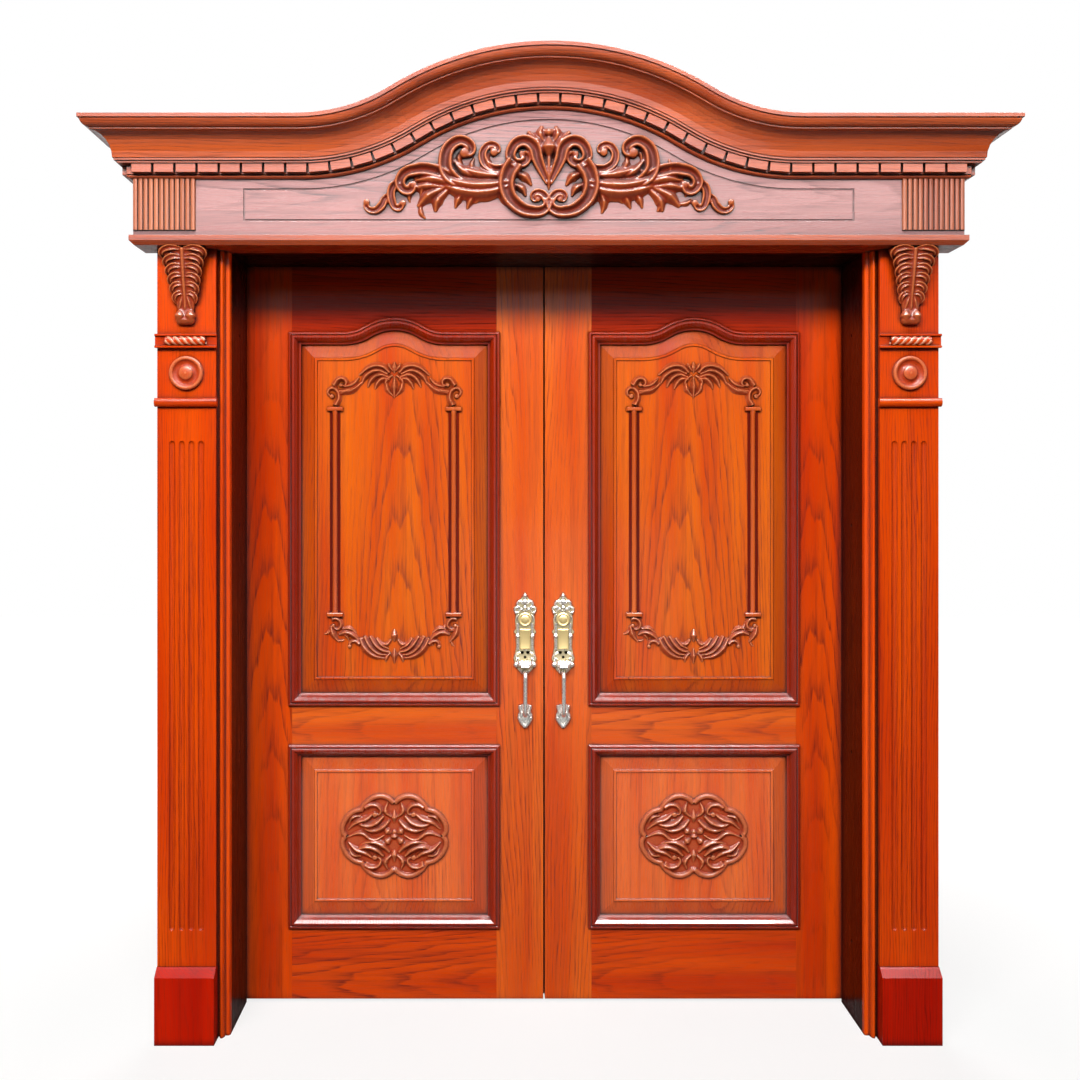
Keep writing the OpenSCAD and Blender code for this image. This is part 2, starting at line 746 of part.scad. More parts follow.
// Tenons of a rail, by its place from the floor up
module tenons(i) {
  for (x = [mx0 + lap - tenon_l, mx1 - lap]) {
    box([x, leaf_mid - tenon_t / 2, tenon_zs[i][0]],
      [x + tenon_l, leaf_mid + tenon_t / 2, tenon_zs[i][1]]);
  }
}

module rail_groove(z0, z1) {
  box([mx0, leaf_mid - tongue_t / 2 - fit_clr, z0], [mx1, leaf_mid + tongue_t / 2 + fit_clr, z1]);
}

module bottom_rail() {
  color("chocolate") difference() {
    union() {
      box([mx0 + lap, leaf_y, floor_gap], [mx1 - lap, jamb_d, low_z + lap]);
      tenons(0);
    }
    rail_groove(low_z + lap - groove_d, low_z + lap + 1);
  }
}

module lock_rail() {
  color("chocolate") difference() {
    union() {
      box([mx0 + lap, leaf_y, low_top - lap], [mx1 - lap, jamb_d, up_z + lap]);
      tenons(1);
    }
    rail_groove(low_top - lap - 1, low_top - lap + groove_d);
    rail_groove(up_z + lap - groove_d, up_z + lap + 1);
  }
}

// Area above the arched head, set in by i, up to height z
function head_area(i, z) =
  let (p = outline(up_z, up_top, head_rise, i), n = len(p))
  concat([for (k = [2 : n - 1]) p[k]], [[mx0 + i, z], [mx1 - i, z]]);

module top_rail() {
  color("chocolate") difference() {
    union() {
      run_y(leaf_y, jamb_d) polygon(head_area(lap, leaf_top));
      tenons(2);
    }
    difference() {
      run_y(leaf_mid - tongue_t / 2 - fit_clr, leaf_mid + tongue_t / 2 + fit_clr)
        polygon(head_area(lap, up_top + head_rise + lap));
      run_y(leaf_y, jamb_d) polygon(head_area(lap - groove_d, leaf_top));
    }
  }
}

// Raised and fielded panel, the same on both faces
module panel(z0, z1, rise) {
  rise_y = leaf_t / 2 - 8;
  steps = [
    [field_in, rise_y], [field_in - 1, rise_y + 4], [mould_w + bevel_w + 2, rise_y + 4],
    [mould_w + bevel_w, rise_y], [mould_w - 6, tongue_t / 2 + 2], [mould_w - 6, tongue_t / 2],
    [lap - tongue_in, tongue_t / 2]
  ];
  m = len(steps);
  all = concat([for (s = steps) [s[0], -s[1]]], [for (k = [m - 1 : -1 : 0]) steps[k]]);
  color("chocolate") loft([for (s = all) outline(z0, z1, rise, s[0])], [for (s = all) leaf_mid + s[1]]);
}

module upper_panel() { panel(up_z, up_top, head_rise); }
module lower_panel() { panel(low_z, low_top, 0); }

// Profile of the panel moulding: [in from its outer edge, up from the leaf]
function mould_profile() =
  let (h = mould_h, w = mould_w, back = leaf_t / 2 - tongue_t / 2 - 3.6)
  [[lap, 0], [0, 0], [0, h * 0.5], [w * 0.08, h * 0.8], [w * 0.19, h * 0.85], [w * 0.25, h * 0.7],
    [w * 0.36, h], [w * 0.5, h], [w * 0.72, h * 0.45], [w * 0.86, -h * 0.3], [w, -h * 0.45],
    [w, -back], [lap, -back]];

// One mitred length, between two points of the outline
module mould_length(z0, z1, rise, first, last) {
  prof = mould_profile();
  rows = [for (p = prof) outline(z0, z1, rise, p[0])];
  k = len(prof);
  n = last - first;
  c = len(rows[0]);
  polyhedron(
    points = [for (j = [first : last]) for (i = [0 : k - 1])
      let (
        a = rows[i][j % c],
        b = rows[i][(j == first ? j + 1 : j - 1) % c],
        q = j == first || j == last ? a + (b - a) / norm(b - a) * mitre_gap / 2 : a
      )
      [q[0], leaf_y - prof[i][1], q[1]]],
    faces = concat(
      [concat([0], [for (i = [k - 1 : -1 : 1]) i])],
      [[for (i = [0 : k - 1]) n * k + i]],
      [for (j = [0 : n - 1]) for (i = [0 : k - 1]) let (b = (i + 1) % k)
        [j * k + i, j * k + b, j * k + k + b]],
      [for (j = [0 : n - 1]) for (i = [0 : k - 1]) let (b = (i + 1) % k)
        [j * k + i, j * k + k + b, j * k + k + i]]
    )
  );
}

module mouldings(z0, z1, rise) {
  c = len(outline(z0, z1, rise, 0));
  for (s = [0, 1]) color("chocolate") translate([0, s * 2 * leaf_mid, 0]) mirror([0, s, 0]) {
    mould_length(z0, z1, rise, 0, 1);
    mould_length(z0, z1, rise, 1, 2);
    mould_length(z0, z1, rise, 2, c - 1);
    mould_length(z0, z1, rise, c - 1, c);
  }
}

module leaf_mouldings() {
  mouldings(up_z, up_top, head_rise);
  mouldings(low_z, low_top, 0);
  meeting_bead();
}

// Bead on the meeting edge, which closes the view between the leaves
module meeting_bead() {
  color("chocolate") box([bead_clr, jamb_d - 9, floor_gap], [meet_edge, jamb_d - 3, leaf_top]);
}

// Carving on the upper field: crest, two rods and swag
module garland() {
  face = leaf_mid - leaf_t / 2 + 8;
  k = (mx1 - mx0 - 2 * field_in) / 463;
  crest_z = up_top - field_in - 137;
  swag_z = up_z + field_in + 30;
  rod_x = 178 * k;
  color("peru") {
    translate([mxc, 0, crest_z]) run_y(face - 12, face) scale([k, k]) {
      stroke([[0, 54], [0, 96], [0, 150]], 10, 34, 10);
      paired() {
        stroke([[4, 96], [34, 132], [58, 116], [44, 100]], 16, 14, 10);
        stroke([[6, 74], [52, 78], [104, 92], [140, 66], [122, 48], [108, 60]], 20, 18, 10);
        stroke([[16, 62], [44, 44], [78, 52]], 16, 18, 6);
        stroke([[118, 84], [158, 72], [196, 40], [206, 8]], 16, 22, 12);
        stroke([[150, 66], [162, 36], [182, 14]], 14, 16, 12);
      }
    }
    translate([mxc, 0, swag_z]) run_y(face - 12, face) scale([k, k]) {
      stroke([[0, 0], [0, 46], [0, 88]], 10, 36, 12);
      paired() {
        stroke([[4, 30], [46, 12], [84, 36], [70, 62], [52, 52]], 18, 16, 10);
        stroke([[8, 64], [60, 78], [112, 58], [152, 74], [186, 112], [192, 146]], 18, 22, 14);
        stroke([[92, 62], [118, 28], [150, 34], [140, 54]], 14, 14, 10);
        stroke([[146, 78], [176, 66], [206, 84], [198, 104]], 14, 14, 10);
        stroke([[22, 76], [42, 104], [74, 104]], 12, 16, 6);
      }
    }
    for (s = [-1, 1]) translate([mxc + s * rod_x, 0, 0]) {
      z0 = swag_z + 152 * k;
      z1 = crest_z - 4;
      box([-13, face - 4, z0], [13, face, z1]);
      translate([0, face - 5, z0 + 1]) cylinder(r = 5, h = z1 - z0 - 2);
      box([-20, face - 10, z0 - 1], [20, face, z0 + 11]);
      box([-20, face - 10, z1 - 11], [20, face, z1 + 1]);
    }
  }
}

// Eight-lobed cartouche on the lower field
module medallion() {
  face = leaf_mid - leaf_t / 2 + 8;
  z = (low_z + low_top) / 2;
  k = min((mx1 - mx0 - 2 * field_in) / 463, (low_h - 2 * field_in) / 379);
  color("peru") translate([mxc, 0, z]) run_y(face - 12, face) scale([k, k]) {
    difference() {
      medallion_shape(0);
      medallion_shape(16);
    }
    stroke([[0, -78], [0, 0], [0, 78]], 24, 16, 24);
    paired() {
      stroke([[2, 0], [50, 26], [96, 10], [84, -14], [64, -4]], 18, 18, 10);
      stroke([[4, 52], [44, 70], [66, 48], [48, 40]], 16, 14, 10);
      stroke([[4, -52], [44, -70], [66, -48], [48, -40]], 16, 14, 10);
      stroke([[92, 16], [124, 36], [142, 6], [124, -36], [98, -32]], 14, 16, 12);
    }
  }
}

module medallion_shape(i) {
  polygon([for (a = [0 : 9 : 351])
    let (r = 0.92 + 0.16 * abs(sin(4 * a))) [(153 * r - i) * cos(a), (116 * r - i) * sin(a)]]);
}

// Handles and lock, drawn on the right leaf

module outside_plate() {
  face = leaf_y - plate_out;
  // half outline, from the finial to the foot
  half = [[0, 222], [7, 208], [18, 196], [24, 184], [34, 176], [31, 166], [26, 160], [29, 140],
    [27, 112], [33, 104], [28, 96], [26, 60], [29, 40], [34, 24], [27, 6], [22, -8], [12, -20], [0, -28]];
  difference() {
    translate([handle_x, 0, thumb_z - 4]) union() {
      run_y(face + 2, leaf_y)
        polygon(concat(half, [for (k = [len(half) - 2 : -1 : 1]) [-half[k][0], half[k][1]]]));
      run_y(face, face + 3) polygon([[-19, 46], [19, 46], [19, 114], [-19, 114]]);
      rod_y(0, 141, face, face + 3, 22);
      rod_y(0, 190, face, face + 3, 10);
    }
    translate([handle_x, 0, thumb_z]) box([-11, face - 1, -7], [11, leaf_y + 1, 7]);
    rod_y(handle_x, key_z, face - 1, leaf_y + 1, key_r + fit_clr);
  }
}

// Plate with the pivot pin of the thumb piece across its slot
module handle_plate() {
  color("silver") union() {
    outside_plate();
    rod_x(thumb_y, thumb_z, handle_x - 12, handle_x + 12, thumb_pin_r);
  }
}

// Leaf-shaped thumb piece on its hub
module thumb_blade(bored) {
  difference() {
    union() {
      rod_x(thumb_y, thumb_z, handle_x - 10, handle_x + 10, 5);
      translate([handle_x, thumb_y, thumb_z]) rotate([8, 0, 0]) translate([0, 0, -1])
        linear_extrude(5) polygon([
          [-9, 0], [9, 0], [9, -10], [17, -20], [18, -30], [11, -38], [0, -42],
          [-11, -38], [-18, -30], [-17, -20], [-9, -10]
        ]);
    }
    if (bored) rod_x(thumb_y, thumb_z, handle_x - 20, handle_x + 20, thumb_pin_r + turn_clr);
  }
}

// Bow of the grip with its foot plate
module grip() {
  y = leaf_y - grip_out;
  color("silver") translate([handle_x, 0, 0]) union() {
    rod_y(0, grip_top, y + grip_bend, leaf_y - plate_out + 2, grip_r);
    rod_y(0, grip_low, y + grip_bend, leaf_y, grip_r);
    translate([0, y + grip_bend, grip_top - grip_bend]) rotate([0, -90, 0]) rotate([0, 0, -90])
      rotate_extrude(angle = 90) translate([grip_bend, 0]) circle(r = grip_r);
    translate([0, y + grip_bend, grip_low + grip_bend]) rotate([0, -90, 0]) rotate([0, 0, 180])
      rotate_extrude(angle = 90) translate([grip_bend, 0]) circle(r = grip_r);
    translate([0, y, grip_low + grip_bend]) cylinder(r = grip_r, h = grip_top - grip_low - 2 * grip_bend);
    run_y(leaf_y - 5, leaf_y) polygon([
      [0, grip_low - 38], [9, grip_low - 24], [18, grip_low - 18], [21, grip_low - 4], [16, grip_low + 8],
      [20, grip_low + 18], [10, grip_low + 28], [-10, grip_low + 28], [-20, grip_low + 18],
      [-16, grip_low + 8], [-21, grip_low - 4], [-18, grip_low - 18], [-9, grip_low - 24]
    ]);
  }
}

// Inside plate with its knob or turn
module inside_plate_shape() {
  y = jamb_d + 5;
  translate([handle_x, 0, 0]) union() {
    run_y(jamb_d, y) polygon([
      [-22, thumb_z - 70], [22, thumb_z - 70], [28, thumb_z - 62], [28, thumb_z + 168],
      [16, thumb_z + 178], [0, thumb_z + 190], [-16, thumb_z + 178], [-28, thumb_z + 168], [-28, thumb_z - 62]
    ]);
    rod_y(0, knob_z, y - 2, y + 4, 18);
  }
}

// Profile of an inside knob, along its axis from its seat
module knob_shape(y0) {
  l = set_back - y0;
  translate([handle_x, y0, knob_z]) rotate([-90, 0, 0]) rotate_extrude() polygon([
    [0, 0], [13, 0], [13, 3], [9, 6], [9, l * 0.42], [16, l * 0.5], [25, l * 0.6],
    [28, l * 0.75], [25, l * 0.9], [15, l], [0, l]
  ]);
}

module lock_pocket() {
  f = fit_clr;
  z0 = case_z0;
  z1 = case_z0 + case_h;
  box([meet_edge - 1, leaf_mid - case_t / 2 - f, z0 - f],
    [meet_edge + case_d + f, leaf_mid + case_t / 2 + f, z1 + f]);
  box([meet_edge - 1, leaf_mid - 12 - f, z0 - 20 - f],
    [meet_edge + forend_t + f, leaf_mid + 12 + f, z1 + 20 + f]);
  rod_y(handle_x, key_z, leaf_y - 1, jamb_d + 1, key_r + f);
  rod_y(handle_x, knob_z, leaf_mid, jamb_d + 1, 8);
  box([handle_x - 12, leaf_y - 1, thumb_z - 8], [handle_x + 12, leaf_y + 12, thumb_z + 8]);
}

// Space that a bolt slides in, from the edge of the leaf
module bolt_way(z, h, l) {
  f = fit_clr;
  box([meet_edge - 1, leaf_mid - 7 - f, z - h / 2 - f],
    [meet_edge + l + f, leaf_mid + 7 + f, z + h / 2 + f]);
}

module lock_case() {
  z0 = case_z0;
  z1 = case_z0 + case_h;
  right() color("gray") difference() {
    union() {
      box([meet_edge + forend_t - 0.5, leaf_mid - case_t / 2, z0],
        [meet_edge + case_d, leaf_mid + case_t / 2, z1]);
      box([meet_edge, leaf_mid - 12, z0 - 20], [meet_edge + forend_t, leaf_mid + 12, z1 + 20]);
      rod_y(handle_x, key_z, leaf_y - plate_out - 1, jamb_d, key_r);
    }
    bolt_way(dead_z, dead_h, dead_l + 1);
    bolt_way(latch_z, latch_h, latch_l + 1);
    rod_y(handle_x, knob_z, leaf_mid - case_t, leaf_mid + case_t, 7);
    rod_y(handle_x, key_z, jamb_d - 12, jamb_d + 1, 5 + turn_clr);
  }
}

// Bolts stand just inside the edge of the leaf when drawn back
module dead_bolt() {
  right() color("gainsboro") box([meet_edge + 0.5, leaf_mid - 7, dead_z - dead_h / 2],
    [meet_edge + dead_l, leaf_mid + 7, dead_z + dead_h / 2]);
}

module latch_bolt() {
  x = meet_edge + 0.5;
  right() color("gainsboro") translate([0, 0, latch_z - latch_h / 2]) linear_extrude(latch_h) polygon([
    [x, leaf_mid - 3], [x + 2, leaf_mid - 7], [meet_edge + latch_l, leaf_mid - 7],
    [meet_edge + latch_l, leaf_mid + 7], [x + 12, leaf_mid + 7], [x, leaf_mid - 1]
  ]);
}

// Strike plate and the pockets that the bolts enter, in the edge of the other leaf
function strike_boxes() = [[dead_z, dead_h + 4, dead_throw + 2], [latch_z, latch_h + 4, latch_throw + 2]];

module strike_cuts(from) {
  for (s = strike_boxes()) {
    box([from, leaf_mid - 9, s[0] - s[1] / 2], [meet_edge + s[2], leaf_mid + 9, s[0] + s[1] / 2]);
  }
}

module strike_plate() {
  left() color("darkgoldenrod") difference() {
    box([meet_edge, leaf_mid - 12, latch_z - 40], [meet_edge + forend_t, leaf_mid + 12, dead_z + 45]);
    strike_cuts(meet_edge - 1);
  }
}

module strike_pocket() {
  f = fit_clr;
  strike_cuts(meet_edge - 1);
  box([meet_edge - 1, leaf_mid - 12 - f, latch_z - 40 - f],
    [meet_edge + forend_t + f, leaf_mid + 12 + f, dead_z + 45 + f]);
}

// Flush bolts in the edge of the left leaf, with z measured from the end of the leaf
module bolt_pocket() {
  f = fit_clr;
  translate([bolt_x, leaf_mid, -bolt_l - 1]) cylinder(r = bolt_r + f, h = bolt_l + 2);
  box([meet_edge - 1, leaf_mid - 10 - f, -slide_z - bolt_plate_l / 2 - f],
    [meet_edge + forend_t + f, leaf_mid + 10 + f, -slide_z + bolt_plate_l / 2 + f]);
  thumb_slot(bolt_x + 1);
}

// Slot that the bolt's thumb block slides in, to depth x
module thumb_slot(x) {
  box([meet_edge - 1, leaf_mid - bolt_r - fit_clr, -slide_z - 11],
    [x, leaf_mid + bolt_r + fit_clr, -slide_z + bolt_throw + 11]);
}

module bolt_plate() {
  difference() {
    box([meet_edge, leaf_mid - 10, -slide_z - bolt_plate_l / 2],
      [meet_edge + forend_t, leaf_mid + 10, -slide_z + bolt_plate_l / 2]);
    thumb_slot(meet_edge + forend_t + 1);
  }
}

module flush_bolt() {
  translate([bolt_x, leaf_mid, -bolt_l]) cylinder(r = bolt_r, h = bolt_l - 1);
  box([meet_edge + 0.5, leaf_mid - bolt_r + 0.5, -slide_z - 10],
    [bolt_x, leaf_mid + bolt_r - 0.5, -slide_z + 10]);
}

module at_top() {
  translate([0, 0, leaf_top]) children();
}

module at_bottom() {
  translate([0, 0, floor_gap]) mirror([0, 0, 1]) children();
}

module bolt_plates() {
  left() color("darkgoldenrod") {
    at_top() bolt_plate();
    at_bottom() bolt_plate();
  }
}

module top_bolt() { left() color("darkgoldenrod") at_top() flush_bolt(); }
module bottom_bolt() { left() color("darkgoldenrod") at_bottom() flush_bolt(); }

// Left leaf

module left_hanging_stile() { left() hanging_stile(); }

module left_meeting_stile() {
  left() meeting_stile() {
    strike_pocket();
    at_top() bolt_pocket();
    at_bottom() bolt_pocket();
  }
}

module left_top_rail() { left() top_rail(); }
module left_lock_rail() { left() lock_rail(); }
module left_bottom_rail() { left() bottom_rail(); }
module left_upper_panel() { left() upper_panel(); }
module left_lower_panel() { left() lower_panel(); }
module left_mouldings() { left() leaf_mouldings(); }
module left_garland() { left() garland(); }
module left_medallion() { left() medallion(); }
module left_hinge_plates() { left() leaf_hinge_plates(); }

// The left handle is a match for the right one, with its thumb piece cast on
module left_handle_plate() {
  left() color("silver") difference() {
    union() {
      outside_plate();
      thumb_blade(false);
      translate([handle_x, 0, thumb_z]) box([-12, leaf_y - 3, -8], [12, leaf_y, 8]);
      rod_y(handle_x, key_z, leaf_y - plate_out - 1, leaf_y, key_r + 1);
    }
    translate([handle_x, 0, thumb_z]) box([-40, leaf_y, -40], [40, jamb_d, 40]);
  }
}

module left_grip() { left() grip(); }

module left_inside_trim() {
  left() color("silver") union() {
    inside_plate_shape();
    knob_shape(jamb_d + 8);
  }
}

// Right leaf

module right_hanging_stile() { right() hanging_stile(); }
module right_meeting_stile() { right() meeting_stile() lock_pocket(); }
module right_top_rail() { right() top_rail(); }
module right_lock_rail() { right() lock_rail(); }
module right_bottom_rail() { right() bottom_rail(); }
module right_upper_panel() { right() upper_panel(); }
module right_lower_panel() { right() lower_panel(); }
module right_mouldings() { right() leaf_mouldings(); }
module right_garland() { right() garland(); }
module right_medallion() { right() medallion(); }
module right_hinge_plates() { right() leaf_hinge_plates(); }
module right_handle_plate() { right() handle_plate(); }
module right_grip() { right() grip(); }
module thumb_piece() { right() color("silver") thumb_blade(true); }

module right_inside_plate() {
  right() color("silver") difference() {
    inside_plate_shape();
    rod_y(handle_x, knob_z, jamb_d - 1, jamb_d + 12, shank_r + turn_clr);
    rod_y(handle_x, key_z, jamb_d - 1, jamb_d + 12, 5 + turn_clr);
  }
}

// Knob with its shank and square spindle into the lock
module inside_knob() {
  right() color("silver") union() {
    knob_shape(jamb_d + 9.4);
    rod_y(handle_x, knob_z, jamb_d - 2, jamb_d + 10, shank_r);
    box([handle_x - 4, leaf_mid - case_t / 2, knob_z - 4], [handle_x + 4, jamb_d, knob_z + 4]);
  }
}

module turn_piece() {
  y = jamb_d + 5.4;
  right() color("silver") union() {
    rod_y(handle_x, key_z, jamb_d - 11, y + 1, 5);
    rod_y(handle_x, key_z, y, y + 5, 15);
    box([handle_x - 4, y + 4, key_z - 17], [handle_x + 4, y + 20, key_z + 17]);
  }
}

jamb_left();
jamb_right();
head_jamb();
weather_seal();
casings();
pilasters();
plinths();
plain_bands();
rope_bands();
rosettes();
corbels();
shelf_board();
frieze_board();
frieze_ends();
reeded_blocks();
frieze_carving();
dentil_course();
crown_moulding();
crown_cap();
crown_cover();
frame_hinge_plates();
hinge_pins();
left_hanging_stile();
left_meeting_stile();
left_top_rail();
left_lock_rail();
left_bottom_rail();
left_upper_panel();
left_lower_panel();
left_mouldings();
left_garland();
left_medallion();
left_hinge_plates();
left_handle_plate();
left_grip();
left_inside_trim();
strike_plate();
bolt_plates();
top_bolt();
bottom_bolt();
right_hanging_stile();
right_meeting_stile();
right_top_rail();
right_lock_rail();
right_bottom_rail();
right_upper_panel();
right_lower_panel();
right_mouldings();
right_garland();
right_medallion();
right_hinge_plates();
right_handle_plate();
right_grip();
right_inside_plate();
lock_case();
thumb_piece();
inside_knob();
turn_piece();
latch_bolt();
dead_bolt();
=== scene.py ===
"""Looks of a carved double front door in its frame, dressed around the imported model."""

import json
import logging
import math
from dataclasses import dataclass, field, replace
from enum import Enum

import bpy
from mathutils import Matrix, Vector

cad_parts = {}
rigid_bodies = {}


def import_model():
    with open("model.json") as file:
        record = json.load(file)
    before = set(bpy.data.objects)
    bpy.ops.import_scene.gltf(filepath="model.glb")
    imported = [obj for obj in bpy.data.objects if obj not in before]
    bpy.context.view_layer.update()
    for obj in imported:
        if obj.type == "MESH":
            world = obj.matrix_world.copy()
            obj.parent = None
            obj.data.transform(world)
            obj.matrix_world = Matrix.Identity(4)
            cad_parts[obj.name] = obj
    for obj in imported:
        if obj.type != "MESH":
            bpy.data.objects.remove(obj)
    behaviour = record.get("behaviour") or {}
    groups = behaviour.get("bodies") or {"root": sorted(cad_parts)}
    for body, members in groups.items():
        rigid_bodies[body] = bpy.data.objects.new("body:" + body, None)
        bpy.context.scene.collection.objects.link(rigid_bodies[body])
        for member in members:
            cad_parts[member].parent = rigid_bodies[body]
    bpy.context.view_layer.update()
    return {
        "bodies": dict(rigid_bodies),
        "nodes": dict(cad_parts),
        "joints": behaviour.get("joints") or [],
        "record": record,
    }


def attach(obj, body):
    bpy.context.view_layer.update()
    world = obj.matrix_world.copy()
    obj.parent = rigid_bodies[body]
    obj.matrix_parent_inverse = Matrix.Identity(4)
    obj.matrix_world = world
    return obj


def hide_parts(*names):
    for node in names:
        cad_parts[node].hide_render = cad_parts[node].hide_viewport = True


MM = 0.001
# middle of a leaf and of a pilaster, from the middle of the door, in metres
LEAF_X = 0.44875
PILASTER_X = 1.0035
LOG = logging.getLogger("front_door")
Point = tuple[float, ...]
Settings = dict[str | int, object]


# Shared tools


def linear(hex_colour: str) -> tuple[float, float, float, float]:
    """Turns an sRGB hex value into linear RGBA.

    Args:
        hex_colour: Six hex digits.

    Returns:
        The linear colour with full alpha.
    """
    parts = [int(hex_colour[i : i + 2], 16) / 255 for i in (0, 2, 4)]
    return (*(p / 12.92 if p <= 0.04045 else ((p + 0.055) / 1.055) ** 2.4 for p in parts), 1.0)


def add(
    tree: bpy.types.NodeTree,
    kind: str,
    settings: Settings | None = None,
    links: dict[str | int, bpy.types.NodeSocket] | None = None,
) -> bpy.types.Node:
    """Adds a node with its settings and links.

    Args:
        tree: The node tree that takes the node.
        kind: The node's type name.
        settings: Values by input name or number, or by attribute name.
        links: Output sockets by input name or number.

    Returns:
        The new node.
    """
    node = tree.nodes.new(kind)
    for key, value in (settings or {}).items():
        if isinstance(key, int) or (key in node.inputs and not hasattr(node, key)):
            node.inputs[key].default_value = value
        else:
            setattr(node, key, value)
    for key, socket in (links or {}).items():
        tree.links.new(socket, node.inputs[key])
    return node


def ramp(
    tree: bpy.types.NodeTree, socket: bpy.types.NodeSocket, stops: tuple[tuple[float, float], ...]
) -> bpy.types.NodeSocket:
    """Turns a number into another by a curve of grey stops.

    Args:
        tree: The node tree.
        socket: The number that is read.
        stops: Place and grey value of each stop.

    Returns:
        The socket that gives the new number.
    """
    node = add(tree, "ShaderNodeValToRGB", None, {"Fac": socket})
    elements = node.color_ramp.elements
    while len(elements) < len(stops):
        elements.new(0.5)
    for element, (place, grey) in zip(elements, stops, strict=True):
        element.position = place
        element.color = (grey, grey, grey, 1)
    return node.outputs["Color"]


def select_only(*objects: bpy.types.Object) -> None:
    """Selects these objects alone, the first of them active."""
    if bpy.context.object and bpy.context.object.mode != "OBJECT":
        bpy.ops.object.mode_set(mode="OBJECT")
    bpy.ops.object.select_all(action="DESELECT")
    for obj in objects:
        obj.select_set(True)
    bpy.context.view_layer.objects.active = objects[0] if objects else None


def finish_with(obj: bpy.types.Object, kind: str, **settings: object) -> None:
    """Adds a modifier to an object and applies it.

    Args:
        obj: The object that is finished.
        kind: The modifier's type.
        **settings: The modifier's values.
    """
    select_only(obj)
    modifier = obj.modifiers.new(kind.lower(), kind)
    for key, value in settings.items():
        setattr(modifier, key, value)
    bpy.ops.object.modifier_apply(modifier=modifier.name)


def set_down(obj: bpy.types.Object, at: Point, turn: Point = (0, 0, 0)) -> None:
    """Puts an object in its place and moves the place into its mesh.

    Args:
        obj: The object.
        at: Where its origin goes, in metres.
        turn: Its turn about X, Y and Z, in degrees.
    """
    select_only(obj)
    obj.location = at
    obj.rotation_euler = [math.radians(a) for a in turn]
    bpy.ops.object.transform_apply(location=True, rotation=True, scale=True)


def joined(name: str, parts: list[bpy.types.Object]) -> bpy.types.Object:
    """Joins meshes and curves into one mesh.

    Args:
        name: The name of the result.
        parts: The objects, which are used up.

    Returns:
        The joined object.
    """
    select_only(*parts)
    bpy.ops.object.convert(target="MESH")
    bpy.ops.object.join()
    obj = bpy.context.view_layer.objects.active
    obj.name = obj.data.name = name
    return obj


def outward(obj: bpy.types.Object) -> None:
    """Merges doubles and turns all faces outwards."""
    select_only(obj)
    bpy.ops.object.mode_set(mode="EDIT")
    bpy.ops.mesh.select_all(action="SELECT")
    bpy.ops.mesh.remove_doubles(threshold=0.00001)
    bpy.ops.mesh.normals_make_consistent(inside=False)
    bpy.ops.object.mode_set(mode="OBJECT")


def flatten_back(obj: bpy.types.Object) -> None:
    """Presses all that lies behind z = 0 into one flat back, let 0.4 mm into the face that carries the piece."""
    select_only(obj)
    bpy.ops.object.mode_set(mode="EDIT")
    bpy.ops.mesh.select_mode(type="VERT")
    bpy.ops.mesh.select_all(action="DESELECT")
    bpy.ops.object.mode_set(mode="OBJECT")
    for vertex in obj.data.vertices:
        vertex.select = vertex.co.z < 0
    bpy.ops.object.mode_set(mode="EDIT")
    bpy.ops.transform.resize(value=(1, 1, 0), center_override=(0, 0, -0.4 * MM))
    bpy.ops.object.mode_set(mode="OBJECT")
    outward(obj)


def loft(sections: list[tuple[Point, Point]]) -> bpy.types.Object:
    """Raises a block through rectangles, each scaled and moved from the one below.

    Args:
        sections: Centre (x, y, z) and size (x, y) of each rectangle, in mm, from the lowest up.

    Returns:
        The closed block.
    """
    select_only()
    (x, y, z), (w, d) = sections[0]
    bpy.ops.mesh.primitive_plane_add(size=1, location=(x * MM, y * MM, z * MM))
    obj = bpy.context.object
    obj.scale = (w * MM, d * MM, 1)
    bpy.ops.object.transform_apply(location=True, rotation=True, scale=True)
    bpy.ops.object.mode_set(mode="EDIT")
    bpy.ops.mesh.select_all(action="SELECT")
    for (p, size), (q, to) in zip(sections, sections[1:]):
        step = [(b - a) * MM for a, b in zip(p, q)]
        bpy.ops.mesh.extrude_region_move(TRANSFORM_OT_translate={"value": step})
        bpy.ops.transform.resize(
            value=(to[0] / size[0], to[1] / size[1], 1), center_override=[c * MM for c in q]
        )
    bpy.ops.object.mode_set(mode="OBJECT")
    outward(obj)
    return obj


def turned(profile: list[Point], at: Point, turn: Point = (0, 0, 0), steps: int = 20) -> bpy.types.Object:
    """Spins a profile about Z, as on a lathe.

    Args:
        profile: Radius and height of each point in mm, from the foot up.
        at: Where the foot goes, in mm.
        turn: The turn about X, Y and Z, in degrees.
        steps: How many sides it has.

    Returns:
        The turned piece.
    """
    select_only()
    bpy.ops.mesh.primitive_plane_add(size=MM)
    obj = bpy.context.object
    bpy.ops.object.mode_set(mode="EDIT")
    bpy.ops.mesh.select_all(action="SELECT")
    bpy.ops.mesh.merge(type="CENTER")
    bpy.ops.transform.translate(value=(profile[0][0] * MM, 0, profile[0][1] * MM))
    for (r0, z0), (r1, z1) in zip(profile, profile[1:]):
        bpy.ops.mesh.extrude_region_move(
            TRANSFORM_OT_translate={"value": ((r1 - r0) * MM, 0, (z1 - z0) * MM)}
        )
    bpy.ops.mesh.select_all(action="SELECT")
    bpy.ops.mesh.spin(steps=steps, angle=math.tau, center=(0, 0, 0), axis=(0, 0, 1))
    bpy.ops.object.mode_set(mode="OBJECT")
    outward(obj)
    set_down(obj, [c * MM for c in at], turn)
    return obj


